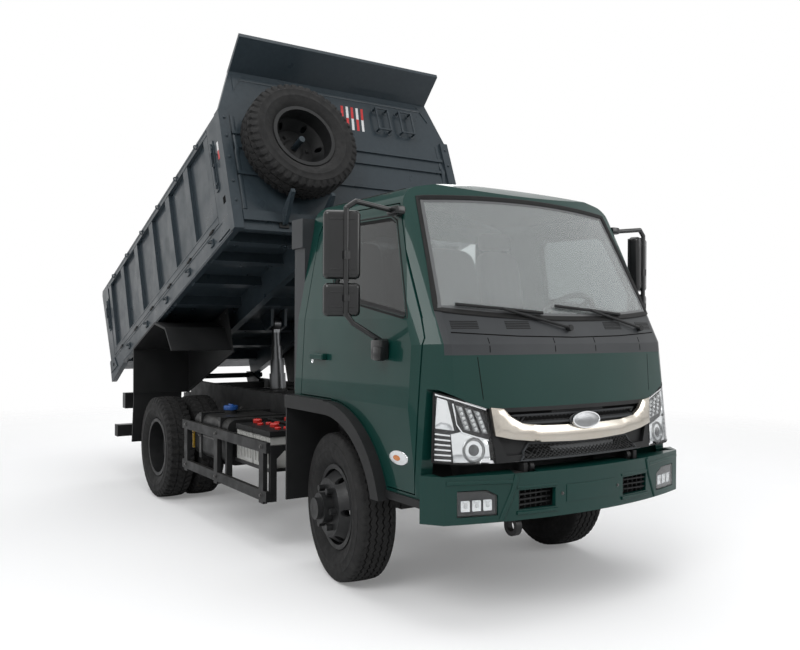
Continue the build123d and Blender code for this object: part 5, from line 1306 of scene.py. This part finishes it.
def build_dash():
    dash = Surface("top", "dashboard")
    back = Surface("back", "dashboard")
    trim = Group()
    hood = [(3.36, 0.25), (3.36, 0.59), (3.45, 0.57), (3.45, 0.27)]
    trim.patch(dash, hood, -0.002, 0.045, 0.03, 0.012)
    for y in DASH_VENTS:
        trim.patch(back, rect(y - 0.05, 1.33, y + 0.05, 1.372), 0.0, 0.008, 0.03, 0.002)
    trim.patch(back, rect(-0.13, 1.245, 0.05, 1.318), 0.0, 0.006, 0.03, 0.002)
    for k in range(3):
        point, normal = back.hit(0.1 + 0.045 * k, 1.285)
        trim.turned(point, normal, [(0.018, 0), (0.018, 0.01), (0.014, 0.014), (0.004, 0.0145)], 20)
    trim.strip(back, [(-0.65, 1.262), (-0.2, 1.262)], 0.012, 0.0, 0.004)
    trim.done("dash_trim", "cowl_grey", "cab", "black_plastic")
    # Dark strips across the vent openings: painted shade inside the vents
    slots = Group()
    for y in DASH_VENTS:
        for k in range(4):
            slots.strip(back, [(y - 0.042, 1.337 + 0.009 * k), (y + 0.042, 1.337 + 0.009 * k)], 0.004,
                        0.0095, 0.0015)
    slots.patch(back, rect(-0.12, 1.252, 0.04, 1.311), 0.008, 0.0095, 0.04)
    slots.done("dash_slots", "dark_joint_and_shade", "cab")
    axis = Vector((-270, 0, 220)).normalized()
    hub = Group().turned(at(3.15, 0.42, 1.4026) + axis * 0.02, axis,
                         [(0.062, -0.008), (0.064, 0.004), (0.056, 0.014), (0.03, 0.019), (0.005, 0.02)], 28)
    hub.done("wheel_pad", "black_plastic", "steering_wheel_body", "black_plastic")


build_bumper()
build_doors()
build_bed_sides()
build_aprons()
build_headboard()
build_tail()
build_chassis()
build_seats()
build_dash()


# Stage, light and camera

FLOOR_HALF = 60.0
FLOOR_GLOW = 0.17
FADE_START, FADE_END = 4.0, 9.0
SKY_STRENGTH = 0.62


class Tree:
    """A node tree that is cleared and wired afresh."""

    def __init__(self, owner):
        owner.use_nodes = True
        self.tree = owner.node_tree
        self.tree.nodes.clear()

    def node(self, kind, inputs=None, operation=None):
        """Adds a node, sets or links its inputs, and gives its outputs."""
        made = self.tree.nodes.new(kind)
        if operation:
            made.operation = operation
        for socket, value in (inputs or {}).items():
            if isinstance(value, bpy.types.NodeSocket):
                self.tree.links.new(value, made.inputs[socket])
            else:
                made.inputs[socket].default_value = value
        return made.outputs


def build_stage():
    mesh = bpy.data.meshes.new("floor")
    corners = [(u, v, 0) for u, v in rect(-FLOOR_HALF, -FLOOR_HALF, FLOOR_HALF, FLOOR_HALF)]
    mesh.from_pydata(corners, [], [(0, 1, 2, 3)])
    floor = bpy.data.objects.new("floor", mesh)
    bpy.context.scene.collection.objects.link(floor)
    material = bpy.data.materials.new("floor_pale")
    tree = Tree(material)
    seen = tree.node("ShaderNodeLightPath")["Is Camera Ray"]
    diffuse = tree.node("ShaderNodeBsdfDiffuse", {"Color": (0.8, 0.8, 0.8, 1)})
    lift = tree.node("ShaderNodeMath", {0: seen, 1: FLOOR_GLOW}, "MULTIPLY")
    glow = tree.node("ShaderNodeEmission", {"Strength": lift["Value"]})
    both = tree.node("ShaderNodeAddShader", {0: diffuse["BSDF"], 1: glow["Emission"]})
    spot = tree.node("ShaderNodeTexCoord")
    far = tree.node("ShaderNodeVectorMath", {0: spot["Object"]}, "LENGTH")
    fade = tree.node("ShaderNodeMapRange", {"Value": far["Value"], "From Min": FADE_START,
                                            "From Max": FADE_END})
    ease = tree.node("ShaderNodeMath", {0: fade["Result"], 1: seen}, "MULTIPLY")
    clear = tree.node("ShaderNodeBsdfTransparent")
    mix = tree.node("ShaderNodeMixShader", {"Fac": ease["Value"], 1: both["Shader"], 2: clear["BSDF"]})
    tree.node("ShaderNodeOutputMaterial", {"Surface": mix["Shader"]})
    mesh.materials.append(material)


def build_world():
    world = bpy.data.worlds.new("studio")
    bpy.context.scene.world = world
    tree = Tree(world)
    coords = tree.node("ShaderNodeTexCoord")
    split = tree.node("ShaderNodeSeparateXYZ", {"Vector": coords["Generated"]})
    sky = tree.node("ShaderNodeValToRGB", {"Fac": split["Z"]})["Color"]
    low, high = sky.node.color_ramp.elements
    low.position, low.color = 0.0, (0.36, 0.37, 0.38, 1)
    high.position, high.color = 0.9, (0.95, 0.96, 0.98, 1)
    soft = tree.node("ShaderNodeBackground", {"Color": sky, "Strength": SKY_STRENGTH})
    white = tree.node("ShaderNodeBackground", {"Color": (1, 1, 1, 1)})
    path = tree.node("ShaderNodeLightPath")
    seen = tree.node("ShaderNodeMath", {0: path["Is Camera Ray"], 1: path["Is Transmission Ray"]}, "MAXIMUM")
    bare = tree.node("ShaderNodeMath", {0: seen["Value"], 1: path["Is Glossy Ray"]}, "MAXIMUM")
    mix = tree.node("ShaderNodeMixShader",
                    {"Fac": bare["Value"], 1: soft["Background"], 2: white["Background"]})
    tree.node("ShaderNodeOutputWorld", {"Surface": mix["Shader"]})


def area_light(name, place, target, size, power):
    data = bpy.data.lights.new(name, "AREA")
    data.shape = "RECTANGLE"
    data.size, data.size_y = size
    data.energy = power
    lamp = bpy.data.objects.new(name, data)
    bpy.context.scene.collection.objects.link(lamp)
    lamp.location = place
    lamp.rotation_mode = "QUATERNION"
    lamp.rotation_quaternion = (Vector(target) - Vector(place)).to_track_quat("-Z", "Y")


def build_lights():
    area_light("key", (6.0, -7.5, 8.0), (0.8, 0, 1.2), (6, 5), 520)
    area_light("top", (0.5, -0.5, 9.5), (0.3, 0, 0.5), (9, 6), 340)
    area_light("fill", (8.5, 5.0, 4.5), (1.5, 0, 1.0), (5, 4), 190)
    area_light("back", (-8.0, 5.0, 5.5), (-0.5, 0, 1.2), (5, 4), 230)


CAMERA_PLACE = at(6.6286, -3.0147, 1.383)
CAMERA_YAW = 0.9858
CAMERA_PITCH = -0.003
CAMERA_ROLL = 0.0049
FOCAL_PX = 827.8
PHOTO_W, PHOTO_H = 800, 650
CENTRE_PX = (399.3, 328.6)


def build_camera():
    data = bpy.data.cameras.new("camera")
    data.sensor_fit = "HORIZONTAL"
    data.sensor_width = 36.0
    data.lens = FOCAL_PX * data.sensor_width / PHOTO_W
    data.shift_x = (PHOTO_W / 2 - CENTRE_PX[0]) / PHOTO_W
    data.shift_y = (CENTRE_PX[1] - PHOTO_H / 2) / PHOTO_W
    data.clip_end = 300
    camera = bpy.data.objects.new("camera", data)
    bpy.context.scene.collection.objects.link(camera)
    ahead = Vector((-sin(CAMERA_YAW) * cos(CAMERA_PITCH), cos(CAMERA_YAW) * cos(CAMERA_PITCH),
                    sin(CAMERA_PITCH)))
    right = ahead.cross(UP).normalized()
    up = right.cross(ahead)
    c, s = cos(CAMERA_ROLL), sin(CAMERA_ROLL)
    right, up = c * right + s * up, -s * right + c * up
    basis = Matrix((right, up, -ahead)).transposed().to_4x4()
    camera.matrix_world = Matrix.Translation(CAMERA_PLACE) @ basis
    bpy.context.scene.camera = camera


build_stage()
build_world()
build_lights()
build_camera()
bpy.context.scene.view_settings.view_transform = "Standard"
